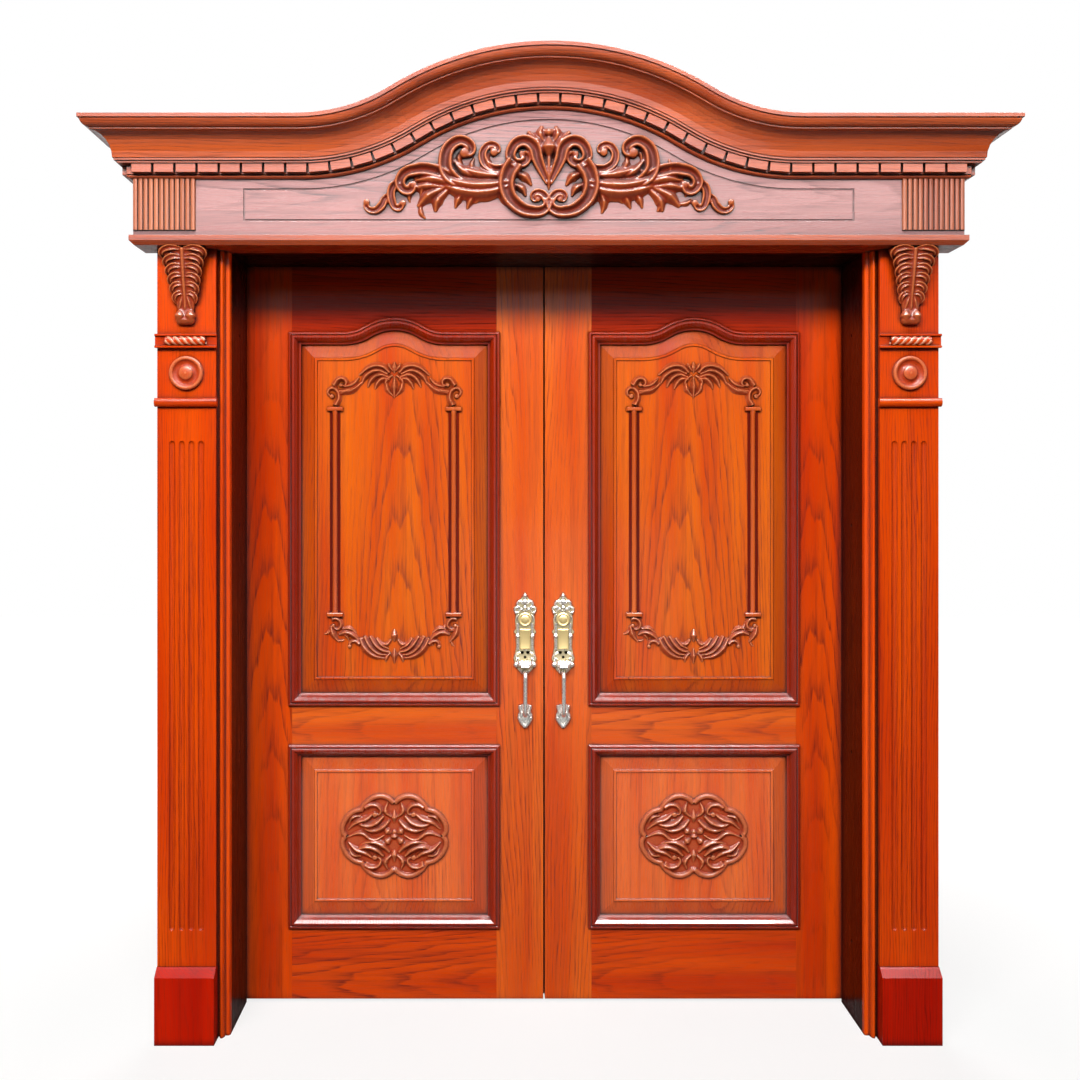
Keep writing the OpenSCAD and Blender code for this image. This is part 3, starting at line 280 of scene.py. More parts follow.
def wire(points: list[Point], radius: float) -> bpy.types.Object:
    """Bends a round wire through points.

    Args:
        points: The points in mm.
        radius: The wire's radius in mm.

    Returns:
        The wire, still a curve.
    """
    select_only()
    bpy.ops.curve.primitive_bezier_curve_add()
    obj = bpy.context.object
    data = obj.data
    data.dimensions = "3D"
    data.resolution_u = 3
    data.bevel_depth = radius * MM
    data.bevel_resolution = 3
    data.use_fill_caps = True
    knots = data.splines[0].bezier_points
    knots.add(len(points) - 2)
    for knot, spot in zip(knots, points, strict=True):
        knot.co = [c * MM for c in spot]
        knot.handle_left_type = knot.handle_right_type = "AUTO"
        knot.radius = 1
    return obj


# Finishes


class Grain(Enum):
    """Which way a board's grain runs."""

    UPRIGHT = "upright"
    LEVEL = "level"


def wood_shader(
    tree: bpy.types.NodeTree,
    colour: bpy.types.NodeSocket,
    pores: bpy.types.NodeSocket,
    corner: bpy.types.NodeSocket,
    relief_mm: float,
    shine: float,
) -> None:
    """Puts the lacquered surface on a wood's colour.

    Args:
        tree: The material's node tree.
        colour: The colour of the stained wood.
        pores: How open the wood is at each point, from 0 to 1.
        corner: How much painted shade lies there; such places are also made duller.
        relief_mm: How deep the open grain is.
        shine: How much the lacquer mirrors, 0.5 being a plain dielectric.
    """
    open_grain = add(tree, "ShaderNodeMapRange", {"To Min": 0.26, "To Max": 0.55}, {"Value": pores})
    rough = add(
        tree,
        "ShaderNodeMath",
        {"operation": "MULTIPLY_ADD", 1: 0.6, "use_clamp": True},
        {0: corner, 2: open_grain.outputs[0]},
    )
    # arrises are sanded to about 1.5 mm
    arris = add(tree, "ShaderNodeBevel", {"samples": 4, "Radius": 1.5 * MM})
    bump = add(
        tree,
        "ShaderNodeBump",
        {"Strength": 0.35, "Distance": relief_mm * MM, "invert": True},
        {"Height": pores, "Normal": arris.outputs[0]},
    )
    shader = add(
        tree,
        "ShaderNodeBsdfPrincipled",
        {"IOR": 1.5, "Specular IOR Level": shine, "Coat Weight": 0.5 * shine, "Coat Roughness": 0.1},
        {"Base Color": colour, "Roughness": rough.outputs[0], "Normal": bump.outputs[0]},
    )
    add(tree, "ShaderNodeOutputMaterial", None, {"Surface": shader.outputs[0]})


def fresh_tree(name: str) -> tuple[bpy.types.Material, bpy.types.NodeTree]:
    """Makes an empty node material.

    Args:
        name: The material's name.

    Returns:
        The material and its tree.
    """
    material = bpy.data.materials.new(name)
    material.use_nodes = True
    material.node_tree.nodes.clear()
    return material, material.node_tree


def mixed(
    tree: bpy.types.NodeTree,
    share: bpy.types.NodeSocket,
    first: bpy.types.NodeSocket | str,
    second: bpy.types.NodeSocket | str,
) -> bpy.types.NodeSocket:
    """Mixes two colours.

    Args:
        tree: The node tree.
        share: How much of the second colour shows.
        first: A colour socket or a hex value.
        second: A colour socket or a hex value.

    Returns:
        The mixed colour.
    """
    settings: Settings = {"data_type": "RGBA"}
    links = {0: share}
    for number, colour in ((6, first), (7, second)):
        if isinstance(colour, str):
            settings[number] = linear(colour)
        else:
            links[number] = colour
    return add(tree, "ShaderNodeMix", settings, links).outputs[2]


@dataclass(frozen=True)
class StainedAsh:
    """Ash board, planed, stained red-brown and lacquered.

    The eye sees pointed growth rings as dark open-pored lines, a slow change of tone along the board, painted shade
    in corners, recesses and under overhangs, and a soft lacquer shine.
    """

    name: str
    light: str = "DC6A26"
    mid: str = "C24A14"
    dark: str = "702008"
    # the colour of the painted shade
    shade_colour: str = "200301"
    grain: Grain = Grain.UPRIGHT
    heart: Point = (0.0, 0.0)
    figure: float = 0.85
    ring_mm: float = 8.0
    tilt: float = 0.045
    # how far from a face that blocks the light the painted shade reaches
    shade_reach_mm: float = 28.0
    shine: float = 0.26
    # how much faces turned from the front darken: extra stain on cross-cut bevels, partly painted shade
    bevel_stain_and_shade: float = 0.0

    def material(self) -> bpy.types.Material:
        """Builds the node material, with the rings around a heart that lies askew in the board."""
        material, tree = fresh_tree(self.name)
        hx, hz = (h * MM for h in self.heart)
        upright = self.grain is Grain.UPRIGHT
        board = add(
            tree,
            "ShaderNodeMapping",
            {
                "Rotation": (0, 0 if upright else math.pi / 2, 0),
                "Location": (-hx, 0, -hz) if upright else (-hz, 0, hx),
            },
            {"Vector": add(tree, "ShaderNodeTexCoord").outputs["Object"]},
        ).outputs[0]
        # a wander of about 140 mm across and 900 mm along, and a finer one of 25 mm by 300 mm
        wander = self.noise(tree, board, (7.0, 7.0, 1.1), 3)
        ripple = self.noise(tree, board, (40.0, 40.0, 3.4), 2)
        tone = self.noise(tree, board, (11.0, 11.0, 0.8), 2)
        plain = self.noise(tree, board, (5.0, 5.0, 0.9), 1)
        # streaks about 15 mm wide and 800 mm long
        streak = self.noise(tree, board, (64.0, 64.0, 1.2), 3)
        # pores are 0.3 mm wide: drawn 2 mm wide and 70 mm long so that they show
        fibre = self.noise(tree, board, (480.0, 480.0, 14.0), 2)
        parts = add(tree, "ShaderNodeSeparateXYZ", None, {0: board}).outputs
        shift = add(tree, "ShaderNodeMath", {"operation": "MULTIPLY_ADD", 1: 0.07, 2: -0.035}, {0: wander})
        across = add(tree, "ShaderNodeMath", {"operation": "ADD"}, {0: parts[0], 1: shift.outputs[0]})
        away = add(tree, "ShaderNodeMath", {"operation": "MULTIPLY_ADD", 1: self.tilt}, {0: parts[2], 2: parts[1]})
        spot = add(tree, "ShaderNodeCombineXYZ", None, {0: across.outputs[0], 1: away.outputs[0]})
        radius = add(tree, "ShaderNodeVectorMath", {"operation": "LENGTH"}, {0: spot.outputs[0]})
        uneven = add(
            tree, "ShaderNodeMath", {"operation": "MULTIPLY_ADD", 1: 0.009}, {0: ripple, 2: radius.outputs["Value"]}
        )
        rings = add(tree, "ShaderNodeMath", {"operation": "DIVIDE", 1: self.ring_mm * MM}, {0: uneven.outputs[0]})
        phase = add(tree, "ShaderNodeMath", {"operation": "FRACT"}, {0: rings.outputs[0]})
        band = ramp(tree, phase.outputs[0], ((0, 0.25), (0.08, 1), (0.26, 0.42), (0.5, 0.06), (0.95, 0.0)))
        pores = ramp(tree, fibre, ((0.48, 0), (0.64, 1)))
        vessel = add(tree, "ShaderNodeMath", {"operation": "MULTIPLY_ADD", 1: 0.6, 2: 0.45}, {0: pores})
        ring = add(tree, "ShaderNodeMath", {"operation": "MULTIPLY"}, {0: band, 1: vessel.outputs[0]})
        figure = add(
            tree,
            "ShaderNodeMath",
            {"operation": "MULTIPLY", "use_clamp": True},
            {0: ring.outputs[0], 1: ramp(tree, plain, ((0.42, 0.2), (0.58, 1)))},
        )
        fleck = add(tree, "ShaderNodeMath", {"operation": "MULTIPLY", 1: 0.16}, {0: pores})
        streaks = ramp(tree, streak, ((0.5, 0), (0.72, 0.32)))
        faint = add(tree, "ShaderNodeMath", {"operation": "ADD"}, {0: fleck.outputs[0], 1: streaks})
        darkness = add(
            tree,
            "ShaderNodeMath",
            {"operation": "MULTIPLY_ADD", 1: self.figure, "use_clamp": True},
            {0: figure.outputs[0], 2: faint.outputs[0]},
        )
        stain = mixed(tree, ramp(tree, tone, ((0.36, 0), (0.64, 1))), self.light, self.mid)
        grained = mixed(tree, darkness.outputs[0], stain, self.dark)
        # painted shade: ambient occlusion darkens corners, recesses and faces under overhangs and dulls them
        corner = add(tree, "ShaderNodeAmbientOcclusion", {"samples": 6, "Distance": self.shade_reach_mm * MM})
        painted_shade = ramp(tree, corner.outputs["AO"], ((0.42, 0.95), (0.86, 0)))
        # bevels are cut across the fibres and drink more stain; this darkening of every face turned from the front is
        # partly painted shade
        normal = add(tree, "ShaderNodeTexCoord").outputs["Normal"]
        facing = add(tree, "ShaderNodeSeparateXYZ", None, {0: normal}).outputs[1]
        flat = add(tree, "ShaderNodeMath", {"operation": "ABSOLUTE"}, {0: facing}).outputs[0]
        soaked_and_shaded = mixed(tree, ramp(tree, flat, ((0.975, self.bevel_stain_and_shade), (0.996, 0))), grained, self.dark)
        wood_shader(tree, mixed(tree, painted_shade, soaked_and_shaded, self.shade_colour), darkness.outputs[0], painted_shade, 0.4, self.shine)
        return material

    def noise(
        self, tree: bpy.types.NodeTree, board: bpy.types.NodeSocket, per_metre: Point, detail: int
    ) -> bpy.types.NodeSocket:
        """Gives a noise drawn out along the board.

        Args:
            tree: The material's tree.
            board: The board's own coordinates.
            per_metre: How often it repeats across, through and along.
            detail: Its octaves.

        Returns:
            The noise, from 0 to 1.
        """
        drawn = add(tree, "ShaderNodeMapping", {"Scale": per_metre}, {"Vector": board})
        return add(
            tree, "ShaderNodeTexNoise", {"Scale": 1.0, "Detail": detail}, {"Vector": drawn.outputs[0]}
        ).outputs["Fac"]


@dataclass(frozen=True)
class CarvedAsh:
    """Ash carved with gouges, stained and wiped, then lacquered.

    The eye sees painted shade in the hollows, and sharp ridges in a lighter colour that is partly wear and partly a
    painted highlight.
    """

    name: str = "carved_stained_ash"
    # the colour of sharp ridges: partly wear, partly a painted highlight
    ridge_wear_and_highlight: str = "F49C66"
    body: str = "B43C14"
    # the colour of the painted shade in the hollows
    hollow_shade: str = "240301"
    # how far from a face that blocks the light the painted shade reaches
    shade_reach_mm: float = 16.0
    shine: float = 0.3

    def material(self) -> bpy.types.Material:
        """Builds the node material from how hidden and how sharp each point is."""
        material, tree = fresh_tree(self.name)
        sharp = add(tree, "ShaderNodeNewGeometry").outputs["Pointiness"]
        hidden = add(tree, "ShaderNodeAmbientOcclusion", {"samples": 8, "Distance": self.shade_reach_mm * MM})
        place = add(tree, "ShaderNodeTexCoord").outputs["Object"]
        # tool marks 4 mm apart, drawn soft
        marks = add(tree, "ShaderNodeTexNoise", {"Scale": 250.0, "Detail": 2}, {"Vector": place}).outputs["Fac"]
        # sharp ridges take the light colour: partly wear, partly a painted highlight
        worn_and_highlit = mixed(tree, ramp(tree, sharp, ((0.49, 0), (0.55, 0.85))), self.body, self.ridge_wear_and_highlight)
        toned = mixed(tree, ramp(tree, marks, ((0.4, 0), (0.75, 0.35))), worn_and_highlit, "7A260C")
        # painted shade: ambient occlusion darkens the hollows and dulls them
        painted_shade = ramp(tree, hidden.outputs["AO"], ((0.35, 1.0), (0.9, 0)))
        wood_shader(tree, mixed(tree, painted_shade, toned, self.hollow_shade), marks, painted_shade, 0.3, self.shine)
        return material


@dataclass(frozen=True)
class CastMetal:
    """Cast or drawn metal with tarnish in its hollows.

    The eye sees bright worn ridges, grey or brown hollows and a slightly uneven polish.
    """

    name: str
    bright: str
    tarnish: str
    rough: Point = (0.2, 0.38)
    hollow_mm: float = 6.0
    grit_mm: float = 3.0
    metallic: float = 1.0

    def material(self) -> bpy.types.Material:
        """Builds the node material."""
        material, tree = fresh_tree(self.name)
        place = add(tree, "ShaderNodeTexCoord").outputs["Object"]
        grit = add(
            tree, "ShaderNodeTexNoise", {"Scale": 1 / (self.grit_mm * MM), "Detail": 3}, {"Vector": place}
        ).outputs["Fac"]
        hidden = add(tree, "ShaderNodeAmbientOcclusion", {"samples": 8, "Distance": self.hollow_mm * MM})
        dark = ramp(tree, hidden.outputs["AO"], ((0.3, 0.9), (0.85, 0.05)))
        polish = add(
            tree, "ShaderNodeMapRange", {"To Min": self.rough[0], "To Max": self.rough[1]}, {"Value": grit}
        )
        bump = add(tree, "ShaderNodeBump", {"Strength": 0.12, "Distance": 0.1 * MM}, {"Height": grit})
        shader = add(
            tree,
            "ShaderNodeBsdfPrincipled",
            {"Metallic": self.metallic},
            {
                "Base Color": mixed(tree, dark, self.bright, self.tarnish),
                "Roughness": polish.outputs[0],
                "Normal": bump.outputs[0],
            },
        )
        add(tree, "ShaderNodeOutputMaterial", None, {"Surface": shader.outputs[0]})
        return material


@dataclass(frozen=True)
class SealRubber:
    """Extruded EPDM bulb seal: matt, nearly black, with a faint bloom."""

    name: str = "extruded_rubber"
    dark: str = "141312"
    bloom: str = "2E2C2A"

    def material(self) -> bpy.types.Material:
        """Builds the node material."""
        material, tree = fresh_tree(self.name)
        place = add(tree, "ShaderNodeTexCoord").outputs["Object"]
        # bloom in patches of about 20 mm
        patch = add(tree, "ShaderNodeTexNoise", {"Scale": 50.0, "Detail": 3}, {"Vector": place}).outputs["Fac"]
        rough = add(tree, "ShaderNodeMapRange", {"To Min": 0.6, "To Max": 0.8}, {"Value": patch})
        shader = add(
            tree,
            "ShaderNodeBsdfPrincipled",
            {"IOR": 1.52},
            {"Base Color": mixed(tree, patch, self.dark, self.bloom), "Roughness": rough.outputs[0]},
        )
        add(tree, "ShaderNodeOutputMaterial", None, {"Surface": shader.outputs[0]})
        return material


ANTIQUE_SILVER = CastMetal("antique_silver_cast", "EDEAE4", "3A342C", (0.2, 0.36), 5.0, metallic=0.75)
PALE_GOLD = CastMetal("pale_gilt_brass", "EFD596", "8A6A34", (0.34, 0.48), metallic=0.7)
OLD_GOLD = CastMetal("old_gilt_brass", "D8C9A2", "4A3C20", (0.3, 0.46), metallic=0.75)
AGED_BRASS = CastMetal("aged_brass", "B08A48", "4A3618", (0.26, 0.44))
SATIN_STEEL = CastMetal("satin_steel", "B9BABA", "55585A", (0.28, 0.4), 4.0, 1.5)
# near black: painted shade standing in for the inside of screw holes
HOLE_SHADE = CastMetal("painted_hole_shade", "1C1610", "080604", (0.4, 0.55))


# Carving on the bench: x and y lie flat, z stands out, all in mm


class Cut(Enum):
    """How a stroke's width changes from its start to its end, as (place, share) pairs."""

    LEAF = ((0.0, 0.5), (0.35, 1.0), (0.75, 0.82), (1.0, 0.28))
    SCROLL = ((0.0, 0.4), (0.35, 1.0), (0.8, 0.72), (1.0, 0.62))
    RIM = ((0.0, 1.0), (1.0, 1.0))
    BUD = ((0.0, 0.2), (0.5, 1.0), (1.0, 0.25))
    VINE = ((0.0, 1.0), (0.6, 0.8), (1.0, 0.5))


class Section(Enum):
    """Cross-section of a stroke as (across, out) points at half width 1."""

    GOUGED = (
        (1.0, -0.25), (1.0, 0.5), (0.92, 0.95), (0.74, 1.12), (0.54, 1.0), (0.28, 0.58), (0.0, 0.42),
        (-0.28, 0.58), (-0.54, 1.0), (-0.74, 1.12), (-0.92, 0.95), (-1.0, 0.5), (-1.0, -0.25),
    )
    KEEL = (
        (1.0, -0.25), (1.0, 0.12), (0.62, 0.42), (0.3, 0.84), (0.0, 1.06), (-0.3, 0.84), (-0.62, 0.42),
        (-1.0, 0.12), (-1.0, -0.25),
    )
    ROUND = (
        (1.0, -0.25), (1.0, 0.2), (0.86, 0.72), (0.5, 1.08), (0.0, 1.2), (-0.5, 1.08), (-0.86, 0.72),
        (-1.0, 0.2), (-1.0, -0.25),
    )


@dataclass(frozen=True)
class Stroke:
    """One sweep of the carver's gouge through its points."""

    points: tuple[Point, ...]
    width: float
    cut: Cut = Cut.LEAF
    section: Section = Section.KEEL
    lobes: int = 0
    eye: float = 0.0

    def mirrored(self, across: int = 0) -> "Stroke":
        """Gives the stroke on the other side of one axis."""
        points = tuple(tuple(-c if i == across else c for i, c in enumerate(p)) for p in self.points)
        return replace(self, points=points)

    def share(self, place: float) -> float:
        """Gives the share of the full width at a place from 0 to 1."""
        stops = self.cut.value
        for (a, low), (b, high) in zip(stops, stops[1:]):
            if place <= b:
                return low + (high - low) * (place - a) / (b - a)
        return stops[-1][1]

    def places(self) -> list[float]:
        """Gives each point's place along the stroke, from 0 to 1."""
        lengths = [0.0]
        for p, q in zip(self.points, self.points[1:]):
            lengths.append(lengths[-1] + math.dist(p, q))
        return [length / lengths[-1] for length in lengths]

    def side_leaves(self) -> list["Stroke"]:
        """Gives the small leaves that stand off the stroke, on each side in turn."""
        leaves = []
        places = self.places()
        for k in range(self.lobes):
            place = 0.12 + 0.74 * k / max(self.lobes - 1, 1)
            i = max(n for n, p in enumerate(places[:-1]) if p <= place)
            part = (place - places[i]) / (places[i + 1] - places[i])
            start, end = (Vector((*p, 0)[:3]) for p in self.points[i : i + 2])
            p = start.lerp(end, part)
            along = (end - start).normalized()
            side = Vector((-along.y, along.x, 0)) * (1 if k % 2 else -1)
            reach = 1.15 * self.width * (1 - 0.35 * place)
            ends = (p, p + 0.5 * reach * along + 0.55 * reach * side, p + 0.55 * reach * along + 1.1 * reach * side)
            leaves.append(Stroke(tuple(tuple(e) for e in ends), 0.62 * self.width * (1 - 0.3 * place), Cut.LEAF))
        return leaves


@dataclass
class Bench:
    """Where carvings are roughed out, smoothed and cut flat at the back."""

    voxel_mm: float = 2.0
    smoothing: int = 3
    rise: float = 1.0
    sections: dict[Section, bpy.types.Object] = field(default_factory=dict)

    def section(self, kind: Section) -> bpy.types.Object:
        """Gives the curve that is swept along strokes of a kind."""
        if kind not in self.sections:
            select_only()
            bpy.ops.curve.primitive_bezier_circle_add()
            obj = bpy.context.object
            obj.data.splines.clear()
            spline = obj.data.splines.new("POLY")
            spline.points.add(len(kind.value) - 1)
            for point, (x, y) in zip(spline.points, kind.value, strict=True):
                point.co = (x, y * self.rise, 0, 1)
            spline.use_cyclic_u = True
            self.sections[kind] = obj
        return self.sections[kind]

    def sweep(self, stroke: Stroke) -> list[bpy.types.Object]:
        """Cuts one stroke.

        Args:
            stroke: The stroke, with its side leaves and the eye at its end.

        Returns:
            The curves and balls that make it.
        """
        select_only()
        bpy.ops.curve.primitive_bezier_curve_add()
        obj = bpy.context.object
        data = obj.data
        data.dimensions = "3D"
        data.twist_mode = "Z_UP"
        data.resolution_u = 6
        data.bevel_mode = "OBJECT"
        data.bevel_object = self.section(stroke.section)
        data.use_fill_caps = True
        points = data.splines[0].bezier_points
        points.add(len(stroke.points) - 2)
        for point, spot, place in zip(points, stroke.points, stroke.places(), strict=True):
            point.co = [c * MM for c in (*spot, 0)[:3]]
            point.handle_left_type = point.handle_right_type = "AUTO"
            point.radius = stroke.width / 2 * MM * stroke.share(place)
        made = [obj]
        if stroke.eye:
            x, y, z = (*stroke.points[-1], 0)[:3]
            r = stroke.eye
            high = z + 1.25 * r * self.rise
            ball = [(0.0, 0.0), (r, 0.0), (r, 0.55 * high), (0.75 * r, 0.88 * high), (0.0, high)]
            made.append(turned(ball, (x, y, 0), steps=14))
        for leaf in stroke.side_leaves():
            made += self.sweep(leaf)
        return made

    def carve(
        self, name: str, strokes: list[Stroke], extra: list[bpy.types.Object] | None = None
    ) -> bpy.types.Object:
        """Carves strokes into one piece with a flat back at z = 0.

        Args:
            name: The piece's name.
            strokes: All its strokes.
            extra: Blocks that are part of it.

        Returns:
            The carved piece, still on the bench.
        """
        parts = list(extra or [])
        for stroke in strokes:
            parts += self.sweep(stroke)
        obj = joined(name, parts)
        finish_with(obj, "REMESH", mode="VOXEL", voxel_size=self.voxel_mm * MM)
        finish_with(obj, "SMOOTH", factor=0.5, iterations=self.smoothing)
        flatten_back(obj)
        bpy.ops.object.shade_smooth_by_angle(angle=math.radians(50))
        return obj

    def clear(self) -> None:
        """Takes the swept sections off the bench."""
        for obj in self.sections.values():
            bpy.data.objects.remove(obj)
        self.sections.clear()


def paired(strokes: list[Stroke]) -> list[Stroke]:
    """Gives strokes with their mirror images on the left."""
    return strokes + [s.mirrored() for s in strokes]


def hung(
    obj: bpy.types.Object,
    at: Point,
    body: str,
    finish: bpy.types.Material,
    turn: Point = (90, 0, 0),
) -> bpy.types.Object:
    """Sets a piece against the face that carries it.

    Args:
        obj: The piece on the bench.
        at: Where its origin goes, in metres.
        body: The body that it rides on.
        finish: Its material.
        turn: Its turn in degrees, which stands a piece with y up and z out upright if not given.

    Returns:
        The piece in its place.
    """
    set_down(obj, at, turn)
    obj.data.materials.clear()
    obj.data.materials.append(finish)
    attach(obj, body)
    LOG.info("%s: %d faces on %s", obj.name, len(obj.data.polygons), body)
    return obj


@dataclass
class FriezeCarving:
    """Palmette with lyre scrolls and side branches on the frieze."""

    face_y: float = -0.1705
    base_z: float = 2.283
    # width of the finished leaves over that of the drawn strokes
    fullness: float = 1.15
    finish: bpy.types.Material | None = None

    def strokes(self) -> list[Stroke]:
        """Gives the strokes, the right half with its mirror image."""
        leaf, vine, scroll, gouged = Cut.LEAF, Cut.VINE, Cut.SCROLL, Section.GOUGED
        right = [
            Stroke(((92, 140), (112, 106), (114, 64), (90, 26), (48, 7), (10, 15), (2, 40)), 42, vine, gouged),
            Stroke(((2, 34), (22, 58), (42, 54), (40, 40), (30, 40)), 22, vine, gouged, eye=8),
            Stroke(((96, 112), (66, 102), (46, 78)), 28, leaf),
            Stroke(((104, 84), (74, 70), (62, 48)), 26, leaf),
            Stroke(
                ((2, 84), (30, 146), (44, 186), (74, 198), (101, 176), (100, 146), (74, 138), (60, 154), (73, 164)),
                34, scroll, gouged, eye=10,
            ),
            Stroke(((10, 168), (34, 200), (58, 226)), 36, leaf),
            Stroke(((8, 190), (24, 216), (18, 242)), 30, leaf),
            Stroke(
                ((116, 122), (160, 126), (180, 150), (174, 180), (152, 190), (138, 176), (150, 168)),
                25, vine, gouged, eye=11,
            ),
            Stroke(
                ((196, 74), (268, 100), (282, 150), (260, 192), (228, 197), (212, 174), (230, 166)),
                38, scroll, gouged, eye=14,
            ),
            Stroke(((112, 88), (176, 76), (240, 82), (294, 104)), 50, leaf),
            Stroke(((110, 76), (170, 58), (238, 62), (300, 84)), 44, leaf, lobes=2),
            Stroke(((124, 104), (190, 108), (252, 132)), 44, leaf, lobes=3),
            Stroke(((190, 98), (232, 116), (262, 150)), 34, leaf, lobes=2),
            Stroke(
                ((240, 84), (310, 116), (362, 120), (400, 102), (402, 74), (381, 64), (370, 80)),
                36, scroll, gouged, eye=11,
            ),
            Stroke(((262, 82), (318, 94), (368, 92)), 44, leaf, lobes=3),
            Stroke(((276, 72), (334, 76), (384, 66)), 34, leaf, lobes=2),
            Stroke(((288, 70), (330, 48), (358, 20)), 38, leaf, lobes=2),
            Stroke(((276, 66), (304, 34), (310, 6)), 31, leaf),
            Stroke(((392, 96), (424, 76), (428, 40), (412, 16), (398, 30)), 24, scroll, gouged, eye=9),
            Stroke(((424, 54), (446, 44), (456, 24), (476, 10), (496, 18), (497, 33)), 22, scroll, gouged, eye=9),
            Stroke(((196, 62), (214, 36), (224, 14)), 24, leaf),
            Stroke(((232, 62), (248, 38), (256, 16)), 23, leaf),
            Stroke(((150, 66), (186, 44), (202, 30)), 20, leaf),
            Stroke(((116, 66), (126, 44), (118, 24)), 20, leaf),
        ]
        middle = [
            Stroke(((0, 66), (0, 104), (0, 150), (0, 190)), 30, Cut.BUD),
            Stroke(((0, 152), (0, 182), (0, 212)), 40, Cut.BUD, Section.ROUND),
            Stroke(((0, -2), (0, 22), (0, 60)), 24, Cut.BUD),
            Stroke(((-22, 234), (0, 224), (22, 234)), 20, Cut.BUD, Section.ROUND),
        ]
        return paired(right) + middle

    def build(self, bench: Bench) -> None:
        """Carves the piece and fixes it to the frieze board."""
        strokes = [replace(s, width=self.fullness * s.width) for s in self.strokes()]
        obj = bench.carve("frieze_scrollwork", strokes)
        hung(obj, (0, self.face_y, self.base_z), "frame", self.finish)
        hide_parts("frieze_carving")


@dataclass
class PanelGarland:
    """Crest, two rods and swag on a leaf's upper panel."""

    side: str
    centre_x: float
    face_y: float = 0.1775
    crest_z: float = 1.780
    swag_z: float = 1.153
    rod_x: float = 178.0
    finish: bpy.types.Material | None = None
    rod_finish: bpy.types.Material | None = None
    # material of the strips of painted shade under the rods
    rod_shade_finish: bpy.types.Material | None = None

    def crest(self) -> list[Stroke]:
        """Gives the strokes of the crest, with y = 0 at the top of the rods."""
        leaf, vine = Cut.LEAF, Cut.VINE
        right = [
            Stroke(((176, 6), (166, 30), (176, 54), (194, 55), (198, 40), (187, 33)), 20, vine, eye=7),
            Stroke(((182, 66), (164, 86), (146, 80), (148, 66), (160, 67)), 20, vine, eye=6),
            Stroke(((168, 48), (140, 50), (114, 68)), 24, leaf),
            Stroke(((150, 62), (126, 68), (106, 88)), 22, leaf),
            Stroke(((164, 42), (126, 52), (92, 80)), 24, leaf),
            Stroke(((14, 104), (36, 122), (70, 121), (106, 96)), 26, leaf),
            Stroke(((20, 100), (52, 110), (84, 95), (100, 68)), 24, leaf),
            Stroke(((18, 91), (46, 97), (68, 83), (80, 60)), 23, leaf),
            Stroke(((14, 83), (36, 85), (50, 73), (58, 55)), 22, leaf),
            Stroke(((6, 96), (24, 80), (26, 62)), 19, leaf),
            Stroke(((24, 74), (20, 54), (4, 34)), 20, leaf),
            Stroke(((4, 110), (14, 122), (18, 132)), 18, leaf),
        ]
        middle = [
            Stroke(((0, 102), (0, 120), (0, 137)), 16, Cut.BUD, Section.ROUND),
            Stroke(((0, 92), (0, 60), (0, 28)), 22, Cut.BUD),
        ]
        return paired(right) + middle

    def swag(self) -> list[Stroke]:
        """Gives the strokes of the swag, with y = 0 at the foot of the rods."""
        leaf, vine = Cut.LEAF, Cut.VINE
        right = [
            Stroke(((187, -8), (173, -7), (161, -19), (164, -35), (176, -38), (183, -28)), 18, vine, eye=5.5),
            Stroke(((190, -28), (184, -52), (166, -78)), 22, leaf, lobes=2),
            Stroke(((166, -55), (145, -48), (125, -55), (104, -76)), 22, leaf, lobes=2),
            Stroke(((156, -38), (135, -36), (114, -50)), 17, leaf),
            Stroke(((104, -83), (118, -74), (131, -78), (134, -90)), 18, vine, eye=5.5),
            Stroke(((104, -66), (86, -97), (59, -118), (29, -126)), 26, leaf),
            Stroke(((90, -60), (73, -90), (48, -111), (22, -116)), 23, leaf),
            Stroke(((73, -60), (55, -87), (35, -102), (14, -108)), 22, leaf),
            Stroke(((54, -66), (38, -86), (17, -98)), 20, leaf),
            Stroke(((10, -70), (24, -84), (34, -80)), 18, leaf),
            Stroke(((12, -110), (24, -124), (26, -138)), 17, leaf),
        ]
        middle = [
            Stroke(((0, -38), (0, -56), (0, -76)), 20, Cut.BUD, Section.ROUND),
            Stroke(((0, -96), (0, -118), (0, -142)), 20, Cut.BUD),
        ]
        return paired(right) + middle

    def rods(self) -> bpy.types.Object:
        """Turns the two slim rods with a block and a bead at each end."""
        length = (self.crest_z - self.swag_z) / MM
        parts = []
        for x in (-self.rod_x, self.rod_x):
            for y in (5, length - 5):
                parts.append(loft([((x, y, 0), (48, 13)), ((x, y, 9), (48, 13)), ((x, y, 12), (43, 8))]))
            parts.append(
                turned(
                    [(0, 9), (8.6, 9), (8.6, 15), (7.4, 19), (7.4, length - 19), (8.6, length - 15), (8.6, length - 9),
                     (0, length - 9)],
                    (x, 0, 2.0), (-90, 0, 0), 16,
                )
            )
        obj = joined(f"{self.side}_panel_rods", parts)
        flatten_back(obj)
        finish_with(obj, "BEVEL", width=0.8 * MM, segments=2, limit_method="ANGLE", angle_limit=math.radians(50))
        bpy.ops.object.shade_smooth_by_angle(angle=math.radians(40))
        return obj

    def rod_shade(self) -> bpy.types.Object:
        """Lays a dark strip under each rod: painted shade standing in for the shadow lines beside it."""
        mid = (self.crest_z - self.swag_z) / MM / 2
        long = 2 * mid - 16
        # let 0.4 mm into the panel
        strips = [
            loft([((x, mid, -0.4), (31, long)), ((x, mid, 1.4), (31, long)), ((x, mid, 1.8), (30, long - 1))])
            for x in (-self.rod_x, self.rod_x)
        ]
        return joined(f"{self.side}_rod_shade_strips", strips)

